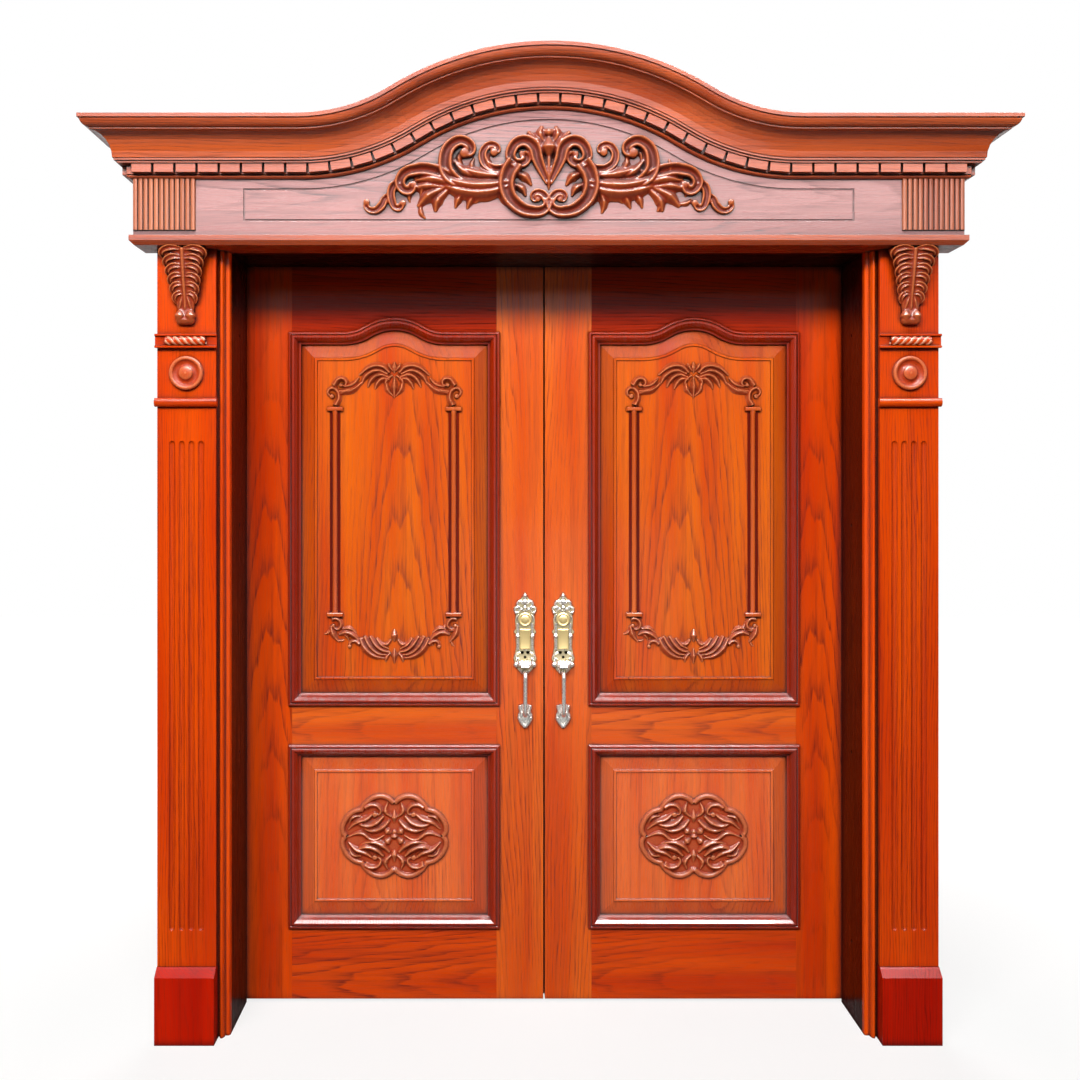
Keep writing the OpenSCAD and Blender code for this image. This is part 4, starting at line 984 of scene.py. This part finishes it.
    def build(self, bench: Bench) -> None:
        """Carves the pieces and fixes them to the panel."""
        body = f"{self.side}_leaf"
        for piece, z, finish in (
            (bench.carve(f"{self.side}_panel_crest", self.crest()), self.crest_z, self.finish),
            (bench.carve(f"{self.side}_panel_swag", self.swag()), self.swag_z, self.finish),
            (self.rods(), self.swag_z, self.rod_finish),
            (self.rod_shade(), self.swag_z, self.rod_shade_finish),
        ):
            hung(piece, (self.centre_x, self.face_y, z), body, finish)
            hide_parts(f"{self.side}_garland")


@dataclass
class Cartouche:
    """Eight-lobed cartouche with scrolls on a leaf's lower panel."""

    side: str
    centre_x: float
    centre_z: float = 0.4945
    face_y: float = 0.1775
    finish: bpy.types.Material | None = None

    def strokes(self) -> list[Stroke]:
        """Gives the strokes of the rim, scrolls and flower."""
        quarter = [
            Stroke(((2, 100), (20, 114), (48, 119), (80, 103), (100, 77)), 16, Cut.RIM, Section.ROUND),
            Stroke(((97, 80), (122, 72), (147, 47), (155, 16), (147, 0)), 16, Cut.RIM, Section.ROUND),
            Stroke(((14, 48), (34, 28), (66, 17), (98, 24)), 32),
            Stroke(((32, 60), (54, 40), (86, 32), (122, 46)), 32),
            Stroke(((64, 66), (86, 50), (112, 42), (138, 20)), 28),
            Stroke(((88, 86), (70, 94), (46, 86), (42, 68), (58, 64)), 25, Cut.VINE, eye=8),
            Stroke(((10, 58), (26, 76), (20, 100)), 27),
            Stroke(((5, 5), (20, 15), (32, 28)), 22, Cut.BUD, Section.ROUND),
            Stroke(((100, 60), (124, 56), (136, 38)), 22),
        ]
        half = quarter + [s.mirrored(1) for s in quarter]
        middle = [
            Stroke(((0, 36), (0, 56), (0, 80)), 20, Cut.BUD, Section.ROUND),
            Stroke(((0, -36), (0, -56), (0, -80)), 20, Cut.BUD, Section.ROUND),
            Stroke(((0, -12), (0, 0), (0, 12)), 24, Cut.BUD, Section.ROUND, eye=7),
            Stroke(((30, 2), (62, -11), (100, 9), (140, -3)), 25),
            Stroke(((-30, 2), (-62, -11), (-100, 9), (-140, -3)), 25),
            Stroke(((0, -88), (0, -100), (0, -116)), 14, Cut.BUD, Section.ROUND),
        ]
        return paired(half) + middle

    def ground(self) -> bpy.types.Object:
        """Cuts the thin plaque inside the rim."""
        select_only()
        bpy.ops.mesh.primitive_circle_add(vertices=80, radius=1, fill_type="NGON")
        obj = bpy.context.object
        for v in obj.data.vertices:
            a = math.atan2(v.co.y, v.co.x)
            r = 0.9 + 0.16 * abs(math.sin(4 * a))
            v.co = (151 * r * math.cos(a) * MM, 114 * r * math.sin(a) * MM, -2 * MM)
        bpy.ops.object.mode_set(mode="EDIT")
        bpy.ops.mesh.select_all(action="SELECT")
        for rise, share in ((4.0, 1.0), (1.5, 0.8), (1.5, 0.6)):
            bpy.ops.mesh.extrude_region_move(TRANSFORM_OT_translate={"value": (0, 0, rise * MM)})
            bpy.ops.transform.resize(value=(share, share, 1), center_override=(0, 0, 0))
        bpy.ops.object.mode_set(mode="OBJECT")
        outward(obj)
        return obj

    def build(self, bench: Bench) -> None:
        """Carves the cartouche and fixes it to the panel."""
        obj = bench.carve(f"{self.side}_cartouche", self.strokes(), [self.ground()])
        hung(obj, (self.centre_x, self.face_y, self.centre_z), f"{self.side}_leaf", self.finish)
        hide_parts(f"{self.side}_medallion")


@dataclass
class Corbel:
    """Acanthus corbel under the shelf, its leaf rolled into two buds at the foot."""

    side: str
    centre_x: float
    foot_z: float = 1.987
    face_y: float = -0.1105
    finish: bpy.types.Material | None = None
    # height, depth and width of the block inside the leaf, from the foot up
    block: tuple[Point, ...] = (
        (2, 18, 44), (14, 24, 52), (30, 19, 44), (46, 16, 46), (76, 21, 56),
        (110, 31, 70), (150, 42, 84), (186, 49, 100), (204, 52, 118), (213, 54, 128),
    )

    def at(self, high: float) -> tuple[float, float]:
        """Gives the block's depth and width at a height in mm."""
        for (a, d0, w0), (b, d1, w1) in zip(self.block, self.block[1:]):
            if high <= b:
                t = (high - a) / (b - a)
                return d0 + t * (d1 - d0), w0 + t * (w1 - w0)
        return self.block[-1][1], self.block[-1][2]

    def core(self) -> bpy.types.Object:
        """Saws the block and rounds its edges."""
        obj = loft([((0, -d / 2, z), (w, d)) for z, d, w in self.block])
        finish_with(obj, "BEVEL", width=9 * MM, segments=3, limit_method="ANGLE", angle_limit=math.radians(60))
        set_down(obj, (0, 0, 0), (-90, 0, 0))
        return obj

    def strokes(self) -> list[Stroke]:
        """Gives the six lobes of each half leaf, the vein and the buds."""
        right = []
        for k in range(6):
            y = 202 - 24 * k
            depth, wide = self.at(y)
            low_depth, low_wide = self.at(y - 22)
            right.append(
                Stroke(
                    (
                        (5, y + 4, depth - 3), (0.3 * wide, y + 5, depth - 1), (0.5 * wide, y - 6, 0.8 * depth),
                        (0.54 * low_wide, y - 22, 0.55 * low_depth),
                    ),
                    20 - 0.8 * k,
                    section=Section.GOUGED,
                )
            )
        right.append(Stroke(((14, 46, 10), (15, 26, 13), (14, 4, 10)), 29, Cut.BUD, Section.ROUND))
        right.append(Stroke(((6, 84, 20), (11, 64, 18), (16, 46, 16)), 13))
        vein = [(0, y, self.at(y)[0]) for y in (208, 176, 140, 104, 72, 46)]
        return paired(right) + [Stroke(tuple(vein), 11, Cut.VINE, Section.ROUND)]

    def build(self, bench: Bench) -> None:
        """Carves the corbel and hangs it on the pilaster."""
        obj = bench.carve(f"{self.side}_corbel", self.strokes(), [self.core()])
        hung(obj, (self.centre_x, self.face_y, self.foot_z), "frame", self.finish)
        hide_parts("corbels")


@dataclass
class RopeTwist:
    """Strands laid round the rod of a rope band."""

    side: str
    centre_x: float
    turn: int
    centre_y: float = -0.1222
    centre_z: float = 1.944
    half: float = 55.0
    lay_r: float = 8.2
    strand_r: float = 4.9
    finish: bpy.types.Material | None = None

    def build(self) -> None:
        """Lays three strands of two twists each."""
        parts = []
        steps = 24
        for strand in range(3):
            points = []
            for k in range(steps + 1):
                a = self.turn * math.tau * (2 * k / steps + strand / 3)
                points.append(
                    (-self.half + 2 * self.half * k / steps, -self.lay_r * math.cos(a), self.lay_r * math.sin(a))
                )
            parts.append(wire(points, self.strand_r))
        obj = joined(f"{self.side}_rope_twist", parts)
        outward(obj)
        bpy.ops.object.shade_smooth_by_angle(angle=math.radians(50))
        at = (self.centre_x, self.centre_y, self.centre_z)
        hung(obj, at, "frame", self.finish, (0, 0, 0))


@dataclass
class HandleCasting:
    """Cast ornament on one handle: finial, rods, balls and scrolls in silver, disc and panel in gold.

    On the bench x = 0 is the handle's middle, y = 0 the key's height and z = 0 the front of the plate.
    """

    side: str
    turn: int
    handle_x: float = 0.057
    key_z: float = 1.145
    plate_y: float = 0.1655
    thumb_z: float = 1.0119
    thumb_y: float = 0.167
    silver: bpy.types.Material | None = None
    gold: bpy.types.Material | None = None
    # material of the cups of painted shade that stand in for the screw holes
    dark: bpy.types.Material | None = None

    def strokes(self) -> list[Stroke]:
        """Gives the silver scrolls, rods and leaves of the plate and the foot."""
        leaf, vine, rim, bud = Cut.LEAF, Cut.VINE, Cut.RIM, Cut.BUD
        right = [
            Stroke(((4, 46), (14, 54), (23, 45), (18, 36)), 10, vine, eye=4.6),
            Stroke(((8, 30), (22, 36), (31, 28), (27, 20)), 9, vine, eye=4.2),
            Stroke(((2, 24), (12, 30), (22, 18)), 10, leaf),
            Stroke(((20, 14), (25, 4), (24, -8)), 6, leaf),
            Stroke(((21.5, -12), (21.5, -50), (21.5, -92)), 7, rim, Section.ROUND),
            Stroke(((22, -38), (22, -50), (22, -62)), 15, bud, Section.ROUND),
            Stroke(((2, -94), (8, -86), (16, -90)), 8, leaf, Section.ROUND),
            Stroke(((14, -98), (24, -104), (28, -114), (20, -118)), 9, vine, eye=4),
            Stroke(((26, -120), (21, -132), (16, -150)), 9, leaf),
            Stroke(((16, -148), (10, -158), (2, -164)), 9, leaf),
            Stroke(((15, -257, 1), (13, -271, 1), (10, -287, 1)), 10, rim, Section.ROUND),
            Stroke(((9, -283, 1), (15, -288, 1), (18, -296, 1)), 9, rim, Section.ROUND),
            Stroke(((18, -293, 1), (11, -308, 1), (0, -322, 1)), 11, rim, Section.ROUND),
        ]
        middle = [
            Stroke(((0, 56), (0, 66), (0, 78)), 10, bud, Section.ROUND),
            Stroke(((0, 28), (0, 36), (0, 44)), 11, bud, Section.ROUND),
        ]
        return paired(right) + middle

    def knobs(self) -> list[bpy.types.Object]:
        """Turns the domed knobs."""
        made = []
        for x, y, r in ((0, 52, 8.5), (0, 71, 6), (26, -136, 7.8), (-26, -136, 7.8)):
            dome = [(0, -1), (r, -1), (r, 3), (0.86 * r, 6), (0.5 * r, 8), (0, 8.8)]
            made.append(turned(dome, (x, y, 0), steps=16))
        return made

    def gilding(self) -> bpy.types.Object:
        """Makes the gold disc over the key and the gold panel below it."""
        rings = [(0, 3.1), (19.5, 3.1), (19.5, 5), (17.5, 6.4), (14.5, 5), (12.5, 5), (11, 6.2), (5, 7), (0, 7.2)]
        disc = turned(rings, (0, 0, 0), steps=32)
        layers = ((2, (31, 60)), (3.6, (31, 60)), (4.8, (26, 55)), (4.0, (22, 51)))
        panel = loft([((0, -59, z), size) for z, size in layers])
        obj = joined(f"{self.side}_handle_gilding", [disc, panel])
        bpy.ops.object.shade_smooth_by_angle(angle=math.radians(35))
        return obj

    def recesses(self) -> bpy.types.Object:
        """Sets the two screw holes and the eye between them as dark cups: painted shade standing in for the inside of
        the holes.
        """
        parts = []
        for x, y, r in ((-8.5, -99, 4.8), (8.5, -99, 4.8), (0, -113, 4.0)):
            cup = [(0, 0), (r, 0), (r, 2.6), (0.8 * r, 3.0), (0.6 * r, 1.4), (0, 1.0)]
            parts.append(turned(cup, (x, y, 0), steps=16))
        obj = joined(f"{self.side}_handle_screws", parts)
        bpy.ops.object.shade_smooth_by_angle(angle=math.radians(35))
        return obj

    def thumb_leaf(self, bench: Bench) -> bpy.types.Object:
        """Chases the shield-shaped leaf that falls from the plate to the thumb piece's tip, with y out and z up."""
        right = [
            Stroke(((6, 18, 13), (15, 26, 9), (12, 39, 2)), 15),
            Stroke(((4, 26, 8), (10, 36, 4), (7, 45, 0)), 12),
        ]
        middle = [Stroke(((0, 17, 14), (0, 28, 9), (0, 46, 0)), 19, Cut.BUD, Section.ROUND)]
        wedge = loft([((0, 28, -0.5), (24, 36)), ((0, 24, 7), (22, 20)), ((0, 21, 12), (18, 9))])
        return bench.carve(f"{self.side}_thumb_leaf", paired(right) + middle, [wedge])

    def build(self, bench: Bench) -> None:
        """Casts the pieces and fixes them to the plate, the grip's foot and the thumb piece."""
        body = f"{self.side}_leaf"
        at = (self.turn * self.handle_x, self.plate_y, self.key_z)
        scrolls = bench.carve(f"{self.side}_handle_scrolls", self.strokes(), self.knobs())
        hung(scrolls, at, body, self.silver)
        hung(self.gilding(), at, body, self.gold)
        hung(self.recesses(), at, body, self.dark)
        tip = (self.turn * self.handle_x, self.thumb_y, self.thumb_z)
        moved_by = "thumb_piece" if self.side == "right" else body
        hung(self.thumb_leaf(bench), tip, moved_by, self.silver, (-8, 0, 180))


@dataclass
class MeetingSeal:
    """Rubber lip in the left leaf's edge that closes the gap to the right leaf."""

    foot_z: float = 0.0085
    top_z: float = 2.2105
    back_y: float = 0.2105
    finish: bpy.types.Material | None = None

    def build(self) -> None:
        """Draws the lip on the left bead, over the gap and against the right bead."""
        obj = loft([((-0.15, -0.9, z / MM), (2.7, 1.8)) for z in (self.foot_z, self.top_z)])
        finish_with(obj, "BEVEL", width=0.15 * MM, segments=2, limit_method="ANGLE", angle_limit=math.radians(60))
        obj.name = obj.data.name = "meeting_seal"
        hung(obj, (0, self.back_y, 0), "left_leaf", self.finish, (0, 0, 0))


# Boards


@dataclass
class Boards:
    """The planed and moulded timber, each board with its own figure."""

    nodes: dict[str, bpy.types.Object]

    def dress(self, node: str, finish: StainedAsh | CarvedAsh | CastMetal | SealRubber) -> None:
        """Gives one CAD node its finish."""
        obj = self.nodes[node]
        material = finish.material()
        for slot in obj.material_slots:
            slot.material = material
        LOG.info("%s: %s", node, finish.name)

    def surround(self) -> None:
        """Dresses the frame, the pilasters and the crown."""
        level = Grain.LEVEL
        pilaster = {"light": "E65002", "mid": "D03802", "dark": "821802", "shine": 0.12}
        # painted light: the casings are brighter than the pilasters to make up for the shade they stand in
        casing = {"light": "F45C08", "mid": "E44604", "dark": "942002", "shine": 0.2}
        crown = {"light": "CC5A26", "mid": "AE4212", "dark": "4A1002", "grain": level, "shine": 0.75}
        # painted reflection: the frieze is paler and pinker than the rest of the wood, standing in for the sky's glare
        # on its lacquer
        frieze = {"light": "A65C56", "mid": "924844", "dark": "2C0C12", "grain": level, "shine": 1.0}
        # painted shade: the jambs are coloured near black for the shade of the deep reveal
        reveal_in_shade = {"light": "380402", "mid": "280201", "dark": "140101", "shine": 0.1}
        # painted shade: the head jamb is coloured near black for the shade under the shelf
        head = {"light": "200201", "mid": "180201", "dark": "0C0101", "grain": level, "shine": 0.1}
        reeds = {"light": "CC7448", "mid": "AE5430", "dark": "6C2C16", "shine": 0.6}
        for name, finish in {
            "jamb_left": StainedAsh("ash_jamb_left", heart=(-700, 900), **reveal_in_shade),
            "jamb_right": StainedAsh("ash_jamb_right", heart=(1200, 1400), **reveal_in_shade),
            "head_jamb": StainedAsh("ash_head_jamb", heart=(300, 2000), **head),
            "casings": StainedAsh("ash_casings", heart=(1400, 600), figure=0.5, shade_reach_mm=9, **casing),
            "pilasters": StainedAsh("ash_pilasters", heart=(-330, 1100), **pilaster),
            "plinths": StainedAsh("ash_plinths", "CA1E02", "B41402", "6A0A02", heart=(-900, 700), shine=0.08),
            "plain_bands": StainedAsh("ash_bands", grain=level, heart=(200, 1500), figure=0.4, **pilaster),
            "shelf_board": StainedAsh("ash_shelf", heart=(-500, 2000), figure=0.5, **crown),
            "frieze_board": StainedAsh("ash_frieze", heart=(250, 2330), figure=1.0, ring_mm=9, **frieze),
            "frieze_ends": StainedAsh("ash_frieze_ends", heart=(600, 2200), figure=0.6, **frieze),
            "reeded_blocks": StainedAsh("ash_reeds", heart=(800, 2100), figure=0.4, **reeds),
            "dentil_course": StainedAsh("ash_dentils", heart=(0, 2000), figure=0.4, shade_reach_mm=18, **crown),
            # painted shade: the cove and the cap darken out to 130 and 110 mm from the members that overhang them
            "crown_moulding": StainedAsh("ash_cove", heart=(400, 2150), figure=0.6, shade_reach_mm=130, **crown),
            "crown_cap": StainedAsh("ash_cap", heart=(-600, 2250), figure=0.6, shade_reach_mm=110, **crown),
            "crown_cover": StainedAsh("ash_cover", heart=(0, 2300), **crown),
            "rope_bands": StainedAsh("ash_rope_bands", grain=level, heart=(200, 1800), figure=0.4, **pilaster),
            "rosettes": CarvedAsh("turned_stained_ash", "E0743E", "CC4410", "3A0602"),
        }.items():
            self.dress(name, finish)

    def leaf(self, side: str, turn: int) -> None:
        """Dresses one leaf.

        Args:
            side: The leaf's side.
            turn: 1 for the right leaf and -1 for the left.
        """
        level = Grain.LEVEL
        frame = {"light": "E44E04", "mid": "CE3602", "dark": "701602"}
        warm = {"light": "F06A18", "mid": "DC4C08", "dark": "8A2404"}
        panel = {"light": "EA6A0E", "mid": "D84A06", "dark": "7A2004", "shine": 0.3, "bevel_stain_and_shade": 0.55}
        bright = {"light": "FA7630", "mid": "EC5A1C", "dark": "8C2606", "shine": 0.75, "bevel_stain_and_shade": 0.5}
        shaded = {"light": "CE3602", "mid": "B02402", "dark": "5A1002"}
        # darker than the panels: partly painted shade for the shadows on and around the mouldings
        dressed = {"light": "B02E06", "mid": "982004", "dark": "4C0A02", "shine": 0.6}
        for name, finish in {
            "hanging_stile": StainedAsh(f"ash_{side}_hanging_stile", heart=(turn * 815, 700), shine=0.16, **frame),
            "meeting_stile": StainedAsh(f"ash_{side}_meeting_stile", heart=(turn * 260, 300), shine=0.35, **warm),
            "top_rail": StainedAsh(f"ash_{side}_top_rail", grain=level, heart=(turn * 300, 2290), shine=0.1, **shaded),
            "lock_rail": StainedAsh(f"ash_{side}_lock_rail", grain=level, heart=(turn * 700, 812), shine=0.36, **warm),
            "bottom_rail": StainedAsh(f"ash_{side}_bottom_rail", grain=level, heart=(turn * 200, 60), **frame),
            "upper_panel": StainedAsh(f"ash_{side}_upper_panel", heart=(turn * 420, 900), ring_mm=9, **panel),
            "lower_panel": StainedAsh(f"ash_{side}_lower_panel", heart=(turn * 520, 1400), **bright),
            "mouldings": StainedAsh(f"ash_{side}_mouldings", heart=(turn * 1500, 400), figure=0.35, **dressed),
        }.items():
            self.dress(f"{side}_{name}", finish)

    def hardware(self) -> None:
        """Dresses hinges, handles, lock and seal."""
        for names, finish in (
            (("frame_hinge_plates", "hinge_pins", "left_hinge_plates", "right_hinge_plates"), AGED_BRASS),
            (("strike_plate", "bolt_plates", "top_bolt", "bottom_bolt"), AGED_BRASS),
            (("left_handle_plate", "right_handle_plate"), OLD_GOLD),
            (("left_grip", "right_grip", "thumb_piece"), ANTIQUE_SILVER),
            (("left_inside_trim", "right_inside_plate", "inside_knob", "turn_piece"), ANTIQUE_SILVER),
            (("lock_case", "latch_bolt", "dead_bolt"), SATIN_STEEL),
            (("weather_seal",), SealRubber()),
        ):
            for name in names:
                self.dress(name, finish)


# Studio


@dataclass
class Studio:
    """Floor, soft lights, white ground and the camera."""

    eye: Point = (-0.147, -3.66, 1.52)
    lens_mm: float = 42.6
    shift: Point = (0.0417, -0.0426)

    def softbox(self, name: str, at: Point, aim: Point, size: Point, watts: float) -> bpy.types.Object:
        """Hangs a rectangular lamp.

        Args:
            name: The lamp's name.
            at: Its place in metres.
            aim: The point that it faces.
            size: Its width and height in metres.
            watts: Its power.

        Returns:
            The lamp.
        """
        data = bpy.data.lights.new(name, "AREA")
        data.shape = "RECTANGLE"
        data.size, data.size_y = size
        data.energy = watts
        lamp = bpy.data.objects.new(name, data)
        lamp.location = at
        lamp.rotation_euler = (Vector(aim) - Vector(at)).to_track_quat("-Z", "Y").to_euler()
        bpy.context.scene.collection.objects.link(lamp)
        return lamp

    def floor(self) -> None:
        """Lays the pale floor, which looks white far off and keeps the door's shadow near it."""
        select_only()
        bpy.ops.mesh.primitive_plane_add(size=24)
        floor = bpy.context.object
        floor.name = "studio_floor"
        material, tree = fresh_tree("pale_floor")
        seen = add(tree, "ShaderNodeLightPath").outputs["Is Camera Ray"]
        place = add(tree, "ShaderNodeTexCoord").outputs["Object"]
        far = add(tree, "ShaderNodeVectorMath", {"operation": "LENGTH"}, {0: place}).outputs["Value"]
        fade = {"From Min": 1.4, "From Max": 3.6, "To Min": 0.76, "To Max": 1.0}
        lift = add(tree, "ShaderNodeMapRange", fade, {"Value": far})
        strength = add(tree, "ShaderNodeMath", {"operation": "MULTIPLY"}, {0: seen, 1: lift.outputs[0]})
        paint = add(tree, "ShaderNodeBsdfDiffuse", {"Color": linear("807E7C")})
        glow = add(tree, "ShaderNodeEmission", {"Color": (1, 1, 1, 1)}, {"Strength": strength.outputs[0]})
        both = add(tree, "ShaderNodeAddShader", None, {0: paint.outputs[0], 1: glow.outputs[0]})
        add(tree, "ShaderNodeOutputMaterial", None, {"Surface": both.outputs[0]})
        floor.data.materials.append(material)

    def flag(self) -> None:
        """Stands a dark cloth behind the camera, below the softbox, so that the lacquer isn't greyed by glare."""
        select_only()
        bpy.ops.mesh.primitive_plane_add(size=1, location=(0, -5.6, 1.55), rotation=(math.pi / 2, 0, 0))
        flag = bpy.context.object
        flag.name = "studio_flag"
        flag.scale = (14, 3.1, 1)
        bpy.ops.object.transform_apply(location=True, rotation=True, scale=True)
        material, tree = fresh_tree("dark_cloth")
        cloth = add(tree, "ShaderNodeBsdfDiffuse", {"Color": linear("1A1614")})
        add(tree, "ShaderNodeOutputMaterial", None, {"Surface": cloth.outputs[0]})
        flag.data.materials.append(material)
        flag.visible_camera = False

    def ground(self) -> None:
        """Makes the world white to the camera and in reflections, and grey as a light."""
        world = bpy.data.worlds.new("studio_ground")
        bpy.context.scene.world = world
        world.use_nodes = True
        tree = world.node_tree
        tree.nodes.clear()
        rays = add(tree, "ShaderNodeLightPath").outputs
        seen = rays["Is Camera Ray"]
        for ray in ("Is Glossy Ray", "Is Transmission Ray"):
            seen = add(tree, "ShaderNodeMath", {"operation": "MAXIMUM"}, {0: seen, 1: rays[ray]}).outputs[0]
        strength = add(tree, "ShaderNodeMapRange", {"To Min": 0.06, "To Max": 1.0}, {"Value": seen})
        white = add(tree, "ShaderNodeBackground", {"Color": (1, 1, 1, 1)}, {"Strength": strength.outputs[0]})
        add(tree, "ShaderNodeOutputWorld", None, {"Surface": white.outputs[0]})

    def camera(self) -> None:
        """Sets the camera level in front of the door, shifted to the picture's frame."""
        data = bpy.data.cameras.new("front_camera")
        data.lens = self.lens_mm
        data.sensor_width = 36
        data.shift_x, data.shift_y = self.shift
        data.clip_end = 50
        camera = bpy.data.objects.new("front_camera", data)
        camera.location = self.eye
        camera.rotation_euler = (math.pi / 2, 0, 0)
        bpy.context.scene.collection.objects.link(camera)
        bpy.context.scene.camera = camera

    def set_up(self) -> None:
        """Sets the whole studio."""
        bpy.context.scene.view_settings.view_transform = "Standard"
        self.floor()
        self.ground()
        self.flag()
        key = self.softbox("key_softbox", (-0.9, -5.0, 4.5), (0, 0, 1.1), (4.6, 1.1), 480)
        key.visible_glossy = False
        for name, at, aim, size, watts in (
            ("frieze_sheen", (0.2, -5.0, 3.55), (0, 0, 2.2), (6.4, 0.7), 70),
            ("moulding_sheen", (0.3, -1.75, 5.3), (0, 0, 1.0), (5.0, 1.2), 1500),
            ("handle_card", (0.35, -5.0, 0.6), (0, 0, 1.0), (1.6, 1.4), 10),
        ):
            sheen = self.softbox(name, at, aim, size, watts)
            sheen.visible_diffuse = False
        self.softbox("back_softbox", (0.0, 4.6, 3.2), (0, 0, 1.2), (3.0, 1.4), 220)
        self.camera()


def main() -> None:
    """Builds the door's looks around the frame, piece by piece."""
    logging.basicConfig(level=logging.INFO, format="%(message)s")
    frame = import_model()
    Studio().set_up()
    boards = Boards(frame["nodes"])
    boards.surround()
    boards.leaf("left", -1)
    boards.leaf("right", 1)
    boards.hardware()
    carved = CarvedAsh().material()
    frieze = CarvedAsh("carved_frieze_ash", "D8743A", "8A280A", "140201", 26.0, 0.32).material()
    board_relief = Bench(2.5, 2, 1.1)
    relief = Bench(2.0, 2, 1.1)
    plaque = Bench(1.6, 2, 1.35)
    fine = Bench(1.3, 2, 1.35)
    cast = Bench(0.8, 1, 1.0)
    FriezeCarving(finish=frieze).build(board_relief)
    MeetingSeal(finish=SealRubber().material()).build()
    # the third material is painted shade for the handles' screw holes
    silver, gold, dark = ANTIQUE_SILVER.material(), PALE_GOLD.material(), HOLE_SHADE.material()
    rods = StainedAsh("turned_rod_ash", "DC6A28", "C84A10", "8A2406", figure=0.4, shade_reach_mm=6, shine=0.5).material()
    # painted shade: the dark strips under the rods stand in for their shadow lines
    rod_shade = StainedAsh("painted_rod_shade_ash", "7A1804", "661002", "300502", figure=0.4, shade_reach_mm=10, shine=0.15).material()
    corbel = CarvedAsh("carved_corbel_ash", "DE7C44", "9A300C", "180201", 20.0).material()
    rope = CarvedAsh("carved_rope_ash", "EEA27C", "B84C20", "240402", 8.0).material()
    for side, turn in (("left", -1), ("right", 1)):
        Corbel(side, turn * PILASTER_X, finish=corbel).build(relief)
        RopeTwist(side, turn * PILASTER_X, turn, finish=rope).build()
        HandleCasting(side, turn, silver=silver, gold=gold, dark=dark).build(cast)
        PanelGarland(side, turn * LEAF_X, finish=carved, rod_finish=rods, rod_shade_finish=rod_shade).build(fine)
        Cartouche(side, turn * LEAF_X, finish=carved).build(plaque)
    for bench in (board_relief, relief, plaque, fine, cast):
        bench.clear()


if __name__ == "__main__":
    main()
